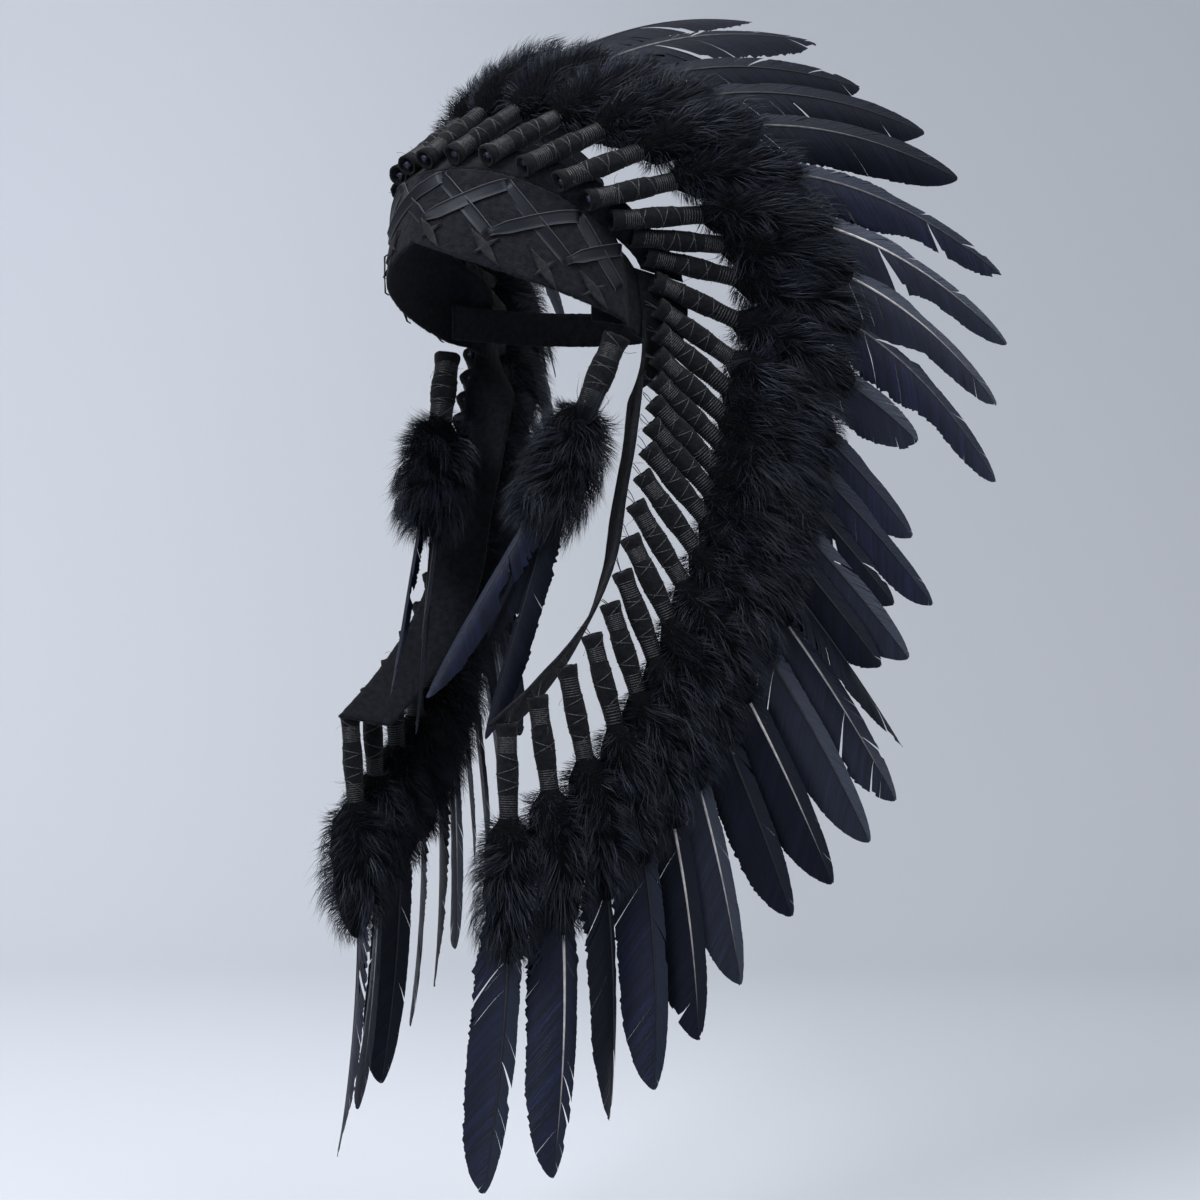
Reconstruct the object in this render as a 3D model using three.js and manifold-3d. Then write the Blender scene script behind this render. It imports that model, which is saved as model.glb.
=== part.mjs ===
// A feathered headdress: a fan of plumes that runs from one side of the chest, over the brow, to the
// other side. Millimetres, +Z up, +X to the wearer's left, the face towards -Y. The origin is the
// middle of the head opening, level with the ears.
import * as THREE from "three";
import { mergeVertices } from "three/addons/utils/BufferGeometryUtils.js";
import Module from "manifold-3d";

const wasm = await Module();
wasm.setup();

// ---- driving sizes -------------------------------------------------------------------------------

const FELT = 2.6; // thickness of all felt
const CLEARANCE = 0.4; // between two pieces that meet
const CROWN_PLUMES = 8; // on each side of the one in the middle, up to the ear
const LAST_PLUME = 25; // counted from the middle to the chest, on each side
const CELL_GAP = 1.2; // left free on each side of a plume's own share of the fan

const quill = { radius: 6.8, footRadius: 7.5, length: 66, axis: 7.6 }; // axis: off the strip's face
const strip = { front: -2, width: 30 };
// The trailer's strip lies flat at v = flat and has turned on edge, by lean degrees, at v = turned.
const trailer = { front: -8, width: 38, out: 5, flat: 9.3, turned: 13.5, lean: 76 };
const brow = { lowA: 92, lowB: 114, highA: 84, highB: 99, end: 105, frontZ: 53, fall: 0.577, bulge: 2 };
const tuck = { depth: 8, from: 88, to: 96 }; // the band's ends pass inside the trailers' strips
const backStrap = { a: 74, b: 106, start: 82, low: 2, high: 27, thickness: 2 };
const ribbon = { width: 9, thickness: 0.9, standOff: 1.9, past: 0.04 }; // past: run on beyond each hole
// Lacing holes. at: degrees from the middle of the brow. height: share of the band's own height.
const holes = { pitch: 30, topAt: 11, topHeight: 0.88, topEnd: 92, lowAt: 5, lowHeight: 0.34, lowEnd: 87 };
const head = { y: 35, z: 20 }; // the fan faces away from this upright line, and from its top above z

const shade = {
  felt: { color: 0x16171b, roughness: 0.95 },
  ribbon: { color: 0x15171c, roughness: 0.45 },
  plume: { color: 0x0b0d14, roughness: 0.7 },
};

// ---- the fan: where each plume starts, where it ends and how it bends ------------------------------
// plume: number along the fan. foot: outer face of the strip under the quill's end. tip: the feather's
// end. lift: degrees that the quill rises above the straight line from foot to tip.
const fanKeys = [
  { plume: 0, footX: 0, footY: -99, footZ: 104, tipX: 0, tipY: 235, tipZ: 260, lift: 12 },
  { plume: 2, footX: 43, footY: -85, footZ: 102, tipX: 111, tipY: 234, tipZ: 189, lift: 15 },
  { plume: 4, footX: 73, footY: -49, footZ: 87, tipX: 190, tipY: 241, tipZ: 114, lift: 18 },
  { plume: 6, footX: 84, footY: -11, footZ: 66, tipX: 223, tipY: 245, tipZ: -3, lift: 20 },
  { plume: 8, footX: 84, footY: 22, footZ: 46, tipX: 221, tipY: 238, tipZ: -105, lift: 20 },
  { plume: 10, footX: 88, footY: 29, footZ: 12, tipX: 210, tipY: 216, tipZ: -180, lift: 8 },
  { plume: 13, footX: 91, footY: 23, footZ: -38, tipX: 191, tipY: 182, tipZ: -232, lift: 3 },
  { plume: 16, footX: 93, footY: 13, footZ: -86, tipX: 190, tipY: 162, tipZ: -328, lift: 5 },
  { plume: 18, footX: 93, footY: 2, footZ: -124, tipX: 172, tipY: 120, tipZ: -391, lift: 4 },
  { plume: 20, footX: 92, footY: -9, footZ: -170, tipX: 141, tipY: 58, tipZ: -458, lift: 6 },
  { plume: 22, footX: 89, footY: -33, footZ: -212, tipX: 121, tipY: -5, tipZ: -515, lift: 8 },
  { plume: 24, footX: 82, footY: -74, footZ: -252, tipX: 98, tipY: -74, tipZ: -564, lift: 7 },
  { plume: 26, footX: 74, footY: -119, footZ: -285, tipX: 42, tipY: -150, tipZ: -592, lift: 5 },
];
const straightShare = 0.24; // of each plume is straight, in its quill

// The same rows for both sides: the right side mirrors the left.
const bothSides = fanKeys
  .slice(1)
  .reverse()
  .map((row) => ({ ...row, plume: -row.plume, footX: -row.footX, tipX: -row.tipX }))
  .concat(fanKeys);

// Feathers off the fan's regular run, on both sides. reach: share of the regular length. notch: how
// much of its width the outer half of the blade lacks.
const odd = [
  { plume: 5, reach: 1.04, notch: 0.36 },
  { plume: 6, reach: 1, notch: 0.4 },
  { plume: 7, reach: 1, notch: 0.4 },
  { plume: 8, reach: 1, notch: 0.34 },
  { plume: 9, reach: 0.74, notch: 0 },
  { plume: 10, reach: 0.85, notch: 0.2 },
  { plume: 11, reach: 0.95, notch: 0.3 },
  { plume: 12, reach: 0.9, notch: 0.2 },
  { plume: 14, reach: 0.88, notch: 0 },
  { plume: 19, reach: 0.93, notch: 0 },
];
const regular = { reach: 1, notch: 0 };

// A smooth value of one column at any place along the fan.
function column(name, v) {
  const rows = bothSides;
  const last = rows.length - 2;
  let i = rows.findIndex((row) => row.plume > v) - 1;
  if (i < 0) i = v < 0 ? 0 : last;
  const [a, b] = [rows[i], rows[i + 1]];
  const slope = (k) => {
    const [p, q] = [rows[Math.max(k - 1, 0)], rows[Math.min(k + 1, rows.length - 1)]];
    return (q[name] - p[name]) / (q.plume - p.plume);
  };
  const step = b.plume - a.plume;
  const t = (v - a.plume) / step;
  if (t > 1) return b[name] + slope(i + 1) * (v - b.plume);
  if (t < 0) return a[name] + slope(i) * (v - a.plume);
  const [t2, t3] = [t * t, t * t * t];
  return (
    a[name] * (2 * t3 - 3 * t2 + 1) +
    b[name] * (3 * t2 - 2 * t3) +
    slope(i) * step * (t3 - 2 * t2 + t) +
    slope(i + 1) * step * (t3 - t2)
  );
}

// The line of the plume at v: its foot, the way to its tip and the way it arches.
function plumeLine(v) {
  const foot = new THREE.Vector3(column("footX", v), column("footY", v), column("footZ", v));
  const tip = new THREE.Vector3(column("tipX", v), column("tipY", v), column("tipZ", v));
  const chord = tip.sub(foot);
  const length = chord.length();
  const way = chord.divideScalar(length);
  const arch = new THREE.Vector3(0, 0.35, 1);
  arch.addScaledVector(way, -arch.dot(way)).normalize();
  const rise = Math.tan(THREE.MathUtils.degToRad(column("lift", v)));
  return { foot, way, arch, length, rise };
}

function onLine(line, along) {
  const s = along / line.length;
  const bent = Math.max(0, s - straightShare) / (1 - straightShare);
  return line.foot
    .clone()
    .addScaledVector(line.way, along)
    .addScaledVector(line.arch, line.rise * line.length * (s - bent * bent));
}

// Millimetres from one plume's line to the next, at a share s of their lengths.
function pitchAt(v, s) {
  const [before, after] = [plumeLine(v - 0.5), plumeLine(v + 0.5)];
  return onLine(before, s * before.length).distanceTo(onLine(after, s * after.length));
}

// The fan's own coordinates: v counts plumes, along runs from foot to tip, out stands off its face.
function fanPoint(v, along, out) {
  const line = plumeLine(v);
  const place = onLine(line, along);
  const heading = onLine(line, along + 1).sub(place).normalize();
  const spineZ = Math.min(line.foot.z, head.z);
  const facing = line.foot.clone().sub(new THREE.Vector3(0, head.y, spineZ)).normalize();
  facing.addScaledVector(heading, -facing.dot(heading)).normalize();
  return place.addScaledVector(facing, out);
}

// ---- solids ----------------------------------------------------------------------------------------

// A closed solid through rings that all have the same number of points. A ring of one point is a tip.
function loft(rings) {
  const points = [];
  const faces = [];
  const starts = rings.map((ring) => points.push(...ring) - ring.length);
  const size = rings[0].length;
  for (let r = 0; r + 1 < rings.length; r++) {
    const [low, high] = [starts[r], starts[r + 1]];
    for (let i = 0; i < size; i++) {
      const j = (i + 1) % size;
      if (rings[r + 1].length === 1) {
        faces.push(low + i, low + j, high);
      } else {
        faces.push(low + i, low + j, high + j, low + i, high + j, high + i);
      }
    }
  }
  const cap = (start, turned) => {
    for (let i = 1; i + 1 < size; i++) {
      faces.push(start, start + (turned ? i + 1 : i), start + (turned ? i : i + 1));
    }
  };
  cap(starts[0], true);
  if (rings.at(-1).length > 1) cap(starts.at(-1), false);
  const geometry = new THREE.BufferGeometry().setFromPoints(points);
  geometry.setIndex(faces);
  return facingOut(geometry);
}

// Turns the faces round if the solid came out inside out.
function facingOut(geometry) {
  const index = geometry.index.array;
  const place = geometry.attributes.position;
  const [a, b, c] = [new THREE.Vector3(), new THREE.Vector3(), new THREE.Vector3()];
  let volume = 0;
  for (let i = 0; i < index.length; i += 3) {
    a.fromBufferAttribute(place, index[i]);
    b.fromBufferAttribute(place, index[i + 1]);
    c.fromBufferAttribute(place, index[i + 2]);
    volume += a.dot(b.cross(c));
  }
  if (volume < 0) index.reverse();
  return geometry;
}

function solidOf(geometry) {
  const merged = mergeVertices(geometry, 1e-4);
  return new wasm.Manifold(
    new wasm.Mesh({
      numProp: 3,
      vertProperties: merged.attributes.position.array,
      triVerts: new Uint32Array(merged.index.array),
    }),
  );
}

function joined(geometries) {
  const made = geometries.map(solidOf).reduce((whole, part) => whole.add(part)).getMesh();
  const geometry = new THREE.BufferGeometry();
  geometry.setAttribute("position", new THREE.BufferAttribute(new Float32Array(made.vertProperties), 3));
  geometry.setIndex(new THREE.BufferAttribute(new Uint32Array(made.triVerts), 1));
  return geometry;
}

function mesh(name, geometry, finish) {
  const made = new THREE.Mesh(geometry, new THREE.MeshStandardMaterial({ ...finish, metalness: 0 }));
  made.name = name;
  return made;
}

const spread = (from, to, count) =>
  Array.from({ length: count + 1 }, (_, i) => from + ((to - from) * i) / count);

// ---- plumes: a thread-wound felt tube, a tuft of fur in locks, and the blade of a feather ------------

const SIDES = 8; // points round every section of a plume
// across and deep: half sizes. under: how much of deep there is on the inner side. lock: how far every
// second corner runs on as the tip of a lock.
const tuft = [
  { at: 64, across: 10, deep: 10, under: 1, lock: 0 },
  { at: 98, across: 24, deep: 35, under: 0.7, lock: 14 },
  { at: 101, across: 15, deep: 24, under: 0.7, lock: 0 },
  { at: 140, across: 24, deep: 33, under: 0.7, lock: -18 },
  { at: 144, across: 9, deep: 5, under: 1, lock: 0 },
];
// at: share of the bare feather from the fur to the tip. half: half its width.
const blade = [
  { at: 0.1, half: 12 },
  { at: 0.4, half: 18 },
  { at: 0.76, half: 18.5 },
  { at: 0.95, half: 10 },
];
const slimming = { from: 0.38, to: 0.62 }; // where a notched blade narrows, as at above
const furEnd = 159; // mm from the foot
const vane = { thickness: 1.8, lead: 0.85, trail: 1.15, layer: 3.5, overlap: 1.9 };
const lockReach = { tip: 1.1, notch: 0.9 }; // of a section's half size, at a lock's tip and beside it
const lengthWaver = { share: 0.02, step: 2.4 }; // no two neighbours are quite as long

// How far a plume may reach sideways: to the edge of its own share of the fan, and past the first and
// last plumes as far as it likes. Feathers lie in two layers, so they may cover half of a neighbour.
function sideways(n, across, along, shares) {
  const pitch = pitchAt(n, along / plumeLine(n).length);
  const most = shares * pitch * 0.5 - CELL_GAP;
  const free = Math.abs(n) === LAST_PLUME && Math.sign(across) === Math.sign(n);
  return (free ? across : THREE.MathUtils.clamp(across, -most, most)) / pitch;
}

function section(n, along, half, deep, under, out, lock, shares) {
  return Array.from({ length: SIDES }, (_, i) => {
    const angle = (2 * Math.PI * (i + 0.5)) / SIDES;
    const runsOn = lock !== 0 && (i % 2 === 0) === lock > 0;
    const reach = runsOn ? lockReach.tip : lockReach.notch;
    const off = deep * reach * Math.sin(angle) * (angle > Math.PI ? under : 1);
    const at = along + (runsOn ? Math.abs(lock) : 0);
    return fanPoint(n + sideways(n, half * reach * Math.cos(angle), at, shares), at, out + off);
  });
}

// A thin section, thickest at the shaft, whose leading vane is narrower than the trailing one.
function bladeSection(n, along, half, out) {
  return Array.from({ length: SIDES }, (_, i) => {
    const angle = (2 * Math.PI * i) / SIDES;
    const across = Math.cos(angle) * half * (Math.cos(angle) < 0 ? vane.lead : vane.trail);
    const off = (Math.sin(angle) * vane.thickness) / 2;
    return fanPoint(n + sideways(n, across, along, vane.overlap), along, out + off);
  });
}

function plume(n) {
  const waver = lengthWaver.share * Math.sin(lengthWaver.step * n);
  const { reach, notch } = odd.find((row) => row.plume === Math.abs(n)) ?? regular;
  const length = plumeLine(n).length * (1 + waver) * reach;
  const layer = n % 2 === 0 ? vane.layer : -vane.layer;
  const rings = [
    section(n, 0, quill.footRadius, quill.footRadius, 1, quill.axis + CLEARANCE, 0, 1),
    section(n, quill.length, quill.radius, quill.radius, 1, quill.axis, 0, 1),
  ];
  for (const { at, across, deep, under, lock } of tuft) {
    rings.push(section(n, at, across, deep, under, quill.axis, lock, 1));
  }
  const bare = length - furEnd;
  for (const { at, half } of blade) {
    const slim = 1 - notch * THREE.MathUtils.smoothstep(at, slimming.from, slimming.to);
    rings.push(bladeSection(n, furEnd + bare * at, half * slim, quill.axis + layer));
  }
  rings.push([fanPoint(n, length, quill.axis + layer)]);
  return loft(rings);
}

// ---- felt strips that carry the quills ---------------------------------------------------------------

// A flat strip between two edges, each given by a function of v as [along, out].
function stripAlongFan(from, to, steps, frontEdge, backEdge) {
  return loft(
    spread(from, to, steps).map((v) => {
      const [front, back] = [frontEdge(v), backEdge(v)];
      const slant = new THREE.Vector2(back[0] - front[0], back[1] - front[1]).normalize();
      const [along, out] = [slant.y * FELT, -slant.x * FELT];
      return [
        fanPoint(v, front[0], front[1]),
        fanPoint(v, back[0], back[1]),
        fanPoint(v, back[0] + along, back[1] + out),
        fanPoint(v, front[0] + along, front[1] + out),
      ];
    }),
  );
}

// v where the crown's strip ends, and where the trailer's begins and ends
const crownEnd = CROWN_PLUMES + 0.35;
const trailerStart = CROWN_PLUMES + 0.4;
const trailerEnd = LAST_PLUME + 0.7;
const stripSteps = 34;

const crownStrip = stripAlongFan(
  -crownEnd,
  crownEnd,
  stripSteps,
  () => [strip.front, -CLEARANCE],
  () => [strip.front + strip.width, -CLEARANCE],
);

// Flat under the quills at the ear, then on edge from the jaw down to the chest.
function trailerStrip(side) {
  const turned = (v) => THREE.MathUtils.smoothstep(Math.abs(v), trailer.flat, trailer.turned);
  const front = (v) => [trailer.front, -CLEARANCE + turned(v) * trailer.out];
  const back = (v) => {
    const lean = turned(v) * THREE.MathUtils.degToRad(trailer.lean);
    const [along, out] = front(v);
    return [along + trailer.width * Math.cos(lean), out - trailer.width * Math.sin(lean)];
  };
  return stripAlongFan(side * trailerStart, side * trailerEnd, stripSteps, front, back);
}

// ---- browband ------------------------------------------------------------------------------------

const ellipse = (a, b, degrees, z) => {
  const angle = THREE.MathUtils.degToRad(degrees);
  return new THREE.Vector3(a * Math.sin(angle), -b * Math.cos(angle), z);
};

// The fan place whose foot stands at this angle round the head.
function fanPlaceAt(degrees) {
  let [low, high] = [0, CROWN_PLUMES + 2];
  while (high - low > 1e-6) {
    const v = (low + high) / 2;
    const angle = Math.atan2(column("footX", v) / brow.highA, -column("footY", v) / brow.highB);
    if (THREE.MathUtils.radToDeg(angle) < Math.abs(degrees)) low = v;
    else high = v;
  }
  return Math.sign(degrees) * low;
}

// A point of the band: height 0 is its lower edge and 1 its upper edge, which butts on the crown strip.
// out stands off the outer face.
function onBrow(degrees, height, out = 0) {
  const lowZ = brow.frontZ - brow.fall * Math.abs(degrees);
  const low = ellipse(brow.lowA, brow.lowB, degrees, lowZ);
  const away = new THREE.Vector3(low.x, low.y, 0).normalize();
  const off = out - tuck.depth * THREE.MathUtils.smoothstep(Math.abs(degrees), tuck.from, tuck.to);
  const high = fanPoint(fanPlaceAt(degrees), strip.front - CLEARANCE, off - CLEARANCE);
  low.addScaledVector(away, off);
  return low.lerp(high, height).addScaledVector(away, brow.bulge * 4 * height * (1 - height));
}

const browRing = (degrees) => [
  ...[0, 0.5, 1].map((height) => onBrow(degrees, height)),
  ...[1, 0.5, 0].map((height) => onBrow(degrees, height, -FELT)),
];
const browSteps = 24;
const browband = loft(spread(-brow.end, brow.end, browSteps).map(browRing));

// Hidden behind the head: it closes the band and is sewn inside its ends.
const strapSteps = 22;
const strap = loft(
  spread(backStrap.start, 360 - backStrap.start, strapSteps).map((degrees) => {
    const { a, b, low, high, thickness } = backStrap;
    return [
      ellipse(a, b, degrees, low),
      ellipse(a, b, degrees, high),
      ellipse(a - thickness, b - thickness, degrees, high),
      ellipse(a - thickness, b - thickness, degrees, low),
    ];
  }),
);

// ---- ribbon lacing: crossed from hole to hole along the band's upper half -----------------------------

function ribbonRun(from, to) {
  const middle = (share) => onBrow(
    THREE.MathUtils.lerp(from.at, to.at, share),
    THREE.MathUtils.lerp(from.height, to.height, share),
    ribbon.standOff,
  );
  const ahead = 0.01;
  return loft(
    spread(-ribbon.past, 1 + ribbon.past, 4).map((share) => {
      const here = middle(share);
      const heading = middle(share + ahead).sub(here).normalize();
      const away = new THREE.Vector3(here.x, here.y, 0).normalize();
      const side = heading.clone().cross(away).normalize();
      const face = side.clone().cross(heading).normalize();
      const corner = (across, out) =>
        here.clone().addScaledVector(side, across).addScaledVector(face, out);
      const half = ribbon.width / 2;
      return [
        corner(-half, 0),
        corner(half, 0),
        corner(half, ribbon.thickness),
        corner(-half, ribbon.thickness),
      ];
    }),
  );
}

const within = (at, end) => THREE.MathUtils.clamp(at, -end, end);
const topHole = (k) => ({
  at: within(holes.topAt + holes.pitch * k, holes.topEnd),
  height: holes.topHeight,
});
const lowHole = (k) => ({
  at: within(holes.lowAt + holes.pitch * k, holes.lowEnd),
  height: holes.lowHeight,
});
const ribbonRuns = spread(-3, 2, 5).flatMap((k) => [
  ribbonRun(lowHole(k), topHole(k + 1)),
  ribbonRun(topHole(k), lowHole(k + 1)),
]);

// ---- ear drops: a wound tube, a ball of fur in locks and three feathers ------------------------------

// Sizes on the wearer's left; the right one mirrors it.
const drop = {
  top: { x: 88, y: -6, z: -9 },
  way: new THREE.Vector3(-0.22, -0.32, -0.92).normalize(),
  facing: { x: 0.85, y: -0.53 },
  topRadius: 10.5,
  tubeRadius: 9,
  tubeLength: 56,
  root: 120, // where the feathers start, inside the ball
  layer: 5, // from one feather to the next
};
// lean: degrees to the side. length: from the tube's top to the feather's tip. half: half its width.
const dropFeathers = [
  { lean: 2, length: 225, half: 11 },
  { lean: 7, length: 290, half: 12 },
  { lean: -9, length: 280, half: 12 },
];
// at: share of a feather's length. wide: share of its full width.
const dropBlade = [
  { at: 0, wide: 0.4 },
  { at: 0.3, wide: 0.9 },
  { at: 0.7, wide: 1 },
  { at: 0.93, wide: 0.5 },
];
// at: from the tube's top. round: radius of the ball there. lock: as in a plume's tuft.
const ball = [
  { at: 50, round: 10, lock: 0 },
  { at: 72, round: 30, lock: 8 },
  { at: 78, round: 24, lock: 0 },
  { at: 104, round: 36, lock: -10 },
  { at: 108, round: 28, lock: 0 },
  { at: 134, round: 31, lock: 12 },
  { at: 139, round: 12, lock: 0 },
];

function earDrop(side) {
  const start = new THREE.Vector3(side * drop.top.x, drop.top.y, drop.top.z);
  const way = drop.way.clone();
  way.x *= side;
  const out = new THREE.Vector3(side * drop.facing.x, drop.facing.y, 0);
  out.addScaledVector(way, -out.dot(way)).normalize();
  const across = out.clone().cross(way).multiplyScalar(side);
  const at = (along, aside, off) =>
    start.clone().addScaledVector(way, along).addScaledVector(across, aside).addScaledVector(out, off);
  const ring = (along, radius, lock) =>
    Array.from({ length: SIDES }, (_, i) => {
      const angle = (2 * Math.PI * i) / SIDES;
      const runsOn = lock !== 0 && (i % 2 === 0) === lock > 0;
      const reach = radius * (runsOn ? lockReach.tip : lockReach.notch);
      return at(along + (runsOn ? Math.abs(lock) : 0), reach * Math.cos(angle), reach * Math.sin(angle));
    });
  const core = loft([
    ring(0, drop.topRadius, 0),
    ring(drop.tubeLength, drop.tubeRadius, 0),
    ...ball.map(({ at: along, round, lock }) => ring(along, round, lock)),
  ]);
  const feathers = dropFeathers.map(({ lean, length, half }, i) => {
    const angle = THREE.MathUtils.degToRad(lean);
    const layer = (i - 1) * drop.layer;
    const point = (along, aside, off) =>
      at(drop.root + along * Math.cos(angle), along * Math.sin(angle) + aside, layer + off);
    const bladeLength = (length - drop.root) / Math.cos(angle);
    return loft([
      ...dropBlade.map(({ at: share, wide }) => [
        point(bladeLength * share, -half * wide, 0),
        point(bladeLength * share, 0, vane.thickness / 2),
        point(bladeLength * share, half * wide, 0),
        point(bladeLength * share, 0, -vane.thickness / 2),
      ]),
      [point(bladeLength, 0, 0)],
    ]);
  });
  return joined([core, ...feathers]);
}

// ---- the headdress -------------------------------------------------------------------------------

const headdress = new THREE.Group();
headdress.add(mesh("browband", browband, shade.felt));
headdress.add(mesh("back_strap", strap, shade.felt));
headdress.add(mesh("crown_strip", crownStrip, shade.felt));
headdress.add(mesh("trailer_strip_left", trailerStrip(1), shade.felt));
headdress.add(mesh("trailer_strip_right", trailerStrip(-1), shade.felt));
headdress.add(mesh("ribbon_lacing", joined(ribbonRuns), shade.ribbon));
headdress.add(mesh("ear_drop_left", earDrop(1), shade.plume));
headdress.add(mesh("ear_drop_right", earDrop(-1), shade.plume));
for (const n of spread(-LAST_PLUME, LAST_PLUME, 2 * LAST_PLUME)) {
  const side = n > 0 ? "left" : "right";
  const name = n === 0 ? "plume_middle" : `plume_${side}_${String(Math.abs(n)).padStart(2, "0")}`;
  headdress.add(mesh(name, plume(n), shade.plume));
}

export default headdress;
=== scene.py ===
"""The looks of a feathered headdress: thread-wound quills, fur tufts and feathers in a fan on felt strips.

Everything is worked out in millimetres in the frame's own axes and turned into metres when a mesh is made.
+Z is up, +X is the wearer's left and -Y is the front. v counts plumes along the fan: 0 is the middle one,
positive numbers are on the wearer's left. Along runs from a plume's foot to its tip.
"""

import math

import bpy
import numpy as np
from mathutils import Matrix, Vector


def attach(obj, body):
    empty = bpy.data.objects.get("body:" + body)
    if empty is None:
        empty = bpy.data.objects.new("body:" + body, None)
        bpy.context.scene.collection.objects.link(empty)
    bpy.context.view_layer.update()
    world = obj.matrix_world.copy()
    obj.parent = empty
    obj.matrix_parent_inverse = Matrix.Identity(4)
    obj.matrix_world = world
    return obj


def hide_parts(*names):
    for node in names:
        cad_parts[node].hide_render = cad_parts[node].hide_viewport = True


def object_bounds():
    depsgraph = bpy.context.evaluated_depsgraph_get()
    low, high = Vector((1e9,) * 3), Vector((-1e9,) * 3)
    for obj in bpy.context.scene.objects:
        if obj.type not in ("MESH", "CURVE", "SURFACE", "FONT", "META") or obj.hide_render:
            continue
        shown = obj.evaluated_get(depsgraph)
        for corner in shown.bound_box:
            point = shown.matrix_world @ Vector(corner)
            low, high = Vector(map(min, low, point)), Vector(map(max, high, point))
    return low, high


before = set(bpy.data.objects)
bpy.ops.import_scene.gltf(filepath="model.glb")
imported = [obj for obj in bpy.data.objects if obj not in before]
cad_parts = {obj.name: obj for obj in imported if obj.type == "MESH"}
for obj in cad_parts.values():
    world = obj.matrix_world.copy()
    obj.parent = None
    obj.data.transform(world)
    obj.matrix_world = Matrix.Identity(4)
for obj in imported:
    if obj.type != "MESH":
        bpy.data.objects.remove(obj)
cad_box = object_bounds()

MM = 0.001  # metres in a millimetre
SEED = 7
UP = np.array([0.0, 0.0, 1.0])


# ---- the fan, as the CAD has it ----

FAN_COLUMNS = ("plume", "foot_x", "foot_y", "foot_z", "tip_x", "tip_y", "tip_z", "lift")
FAN_ROWS = (
    (0, 0, -99, 104, 0, 235, 260, 12),
    (2, 43, -85, 102, 111, 234, 189, 15),
    (4, 73, -49, 87, 190, 241, 114, 18),
    (6, 84, -11, 66, 223, 245, -3, 20),
    (8, 84, 22, 46, 221, 238, -105, 20),
    (10, 88, 29, 12, 210, 216, -180, 8),
    (13, 91, 23, -38, 191, 182, -232, 3),
    (16, 93, 13, -86, 190, 162, -328, 5),
    (18, 93, 2, -124, 172, 120, -391, 4),
    (20, 92, -9, -170, 141, 58, -458, 6),
    (22, 89, -33, -212, 121, -5, -515, 8),
    (24, 82, -74, -252, 98, -74, -564, 7),
    (26, 74, -119, -285, 42, -150, -592, 5),
)
MIRRORED = ("plume", "foot_x", "tip_x")
# Plumes off the regular run: (share of the regular length, share of its width that the outer half lacks)
ODD = {
    5: (1.04, 0.36), 6: (1, 0.4), 7: (1, 0.4), 8: (1, 0.34), 9: (0.74, 0), 10: (0.85, 0.2), 11: (0.95, 0.3),
    12: (0.9, 0.2), 14: (0.88, 0), 19: (0.93, 0),
}
REGULAR = (1, 0)
CROWN_PLUMES = 8  # on each side of the middle one, up to the ear
LAST_PLUME = 25  # counted from the middle to the chest, on each side
STRAIGHT_SHARE = 0.24  # of each plume is straight, in its quill
ARCH_WAY = (0.0, 0.35, 1.0)  # plumes arch this way
LENGTH_WAVER = {"share": 0.02, "step": 2.4}
CLEARANCE = 0.4  # between two pieces that meet
FELT = 2.6  # thickness of the band and the strips
RIBBON_WIDTH = 9
QUILL = {"radius": 6.8, "length": 66, "axis": 7.6}  # axis: off the strip's face
STRIP = {"front": -2, "width": 30}
# The trailer's strip lies flat at v = flat and has turned on edge, by lean degrees, at v = turned.
TRAILER = {"front": -8, "width": 38, "out": 5, "flat": 9.3, "turned": 13.5, "lean": 76}
BROW = {
    "low_a": 92, "low_b": 114, "high_a": 84, "high_b": 99, "end": 105,
    "front_z": 53, "fall": 0.577, "bulge": 2,
}
TUCK = {"depth": 8, "from": 88, "to": 96}  # the band's ends pass inside the trailers' strips
BACK_STRAP = {"a": 74, "b": 106, "start": 82, "low": 2, "high": 27, "thickness": 2}
# Lacing holes. at: degrees from the middle of the brow. height: share of the band's own height.
HOLES = {
    "pitch": 30, "top_at": 11, "top_height": 0.88, "top_end": 92,
    "low_at": 5, "low_height": 0.34, "low_end": 87,
}
HEAD = {"y": 35, "z": 20}  # the fan faces away from this upright line, and from its top above z


def fan_tables():
    """Each column for both sides, in order from the right chest to the left one."""
    rows = {name: np.array([row[i] for row in FAN_ROWS], float) for i, name in enumerate(FAN_COLUMNS)}
    both = {}
    for name, values in rows.items():
        sign = -1 if name in MIRRORED else 1
        both[name] = np.concatenate([sign * values[:0:-1], values])
    return both


FAN = fan_tables()


def column(name, v):
    """A smooth value of one column at any place along the fan."""
    v = np.asarray(v, float)
    p, y = FAN["plume"], FAN[name]
    k = np.arange(len(p))
    low, high = np.maximum(k - 1, 0), np.minimum(k + 1, len(p) - 1)
    slope = (y[high] - y[low]) / (p[high] - p[low])
    i = np.clip(np.searchsorted(p, v, side="right") - 1, 0, len(p) - 2)
    step = p[i + 1] - p[i]
    t = (v - p[i]) / step
    inside = (
        y[i] * (2 * t**3 - 3 * t**2 + 1)
        + y[i + 1] * (3 * t**2 - 2 * t**3)
        + slope[i] * step * (t**3 - 2 * t**2 + t)
        + slope[i + 1] * step * (t**3 - t**2)
    )
    after = y[i + 1] + slope[i + 1] * (v - p[i + 1])
    before = y[i] + slope[i] * (v - p[i])
    return np.where(t > 1, after, np.where(t < 0, before, inside))


def unit(vectors):
    return vectors / np.linalg.norm(vectors, axis=-1, keepdims=True)


def square_to(vectors, axis):
    """The vectors made square to axis, at unit length."""
    return unit(vectors - axis * np.sum(vectors * axis, axis=-1, keepdims=True))


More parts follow.
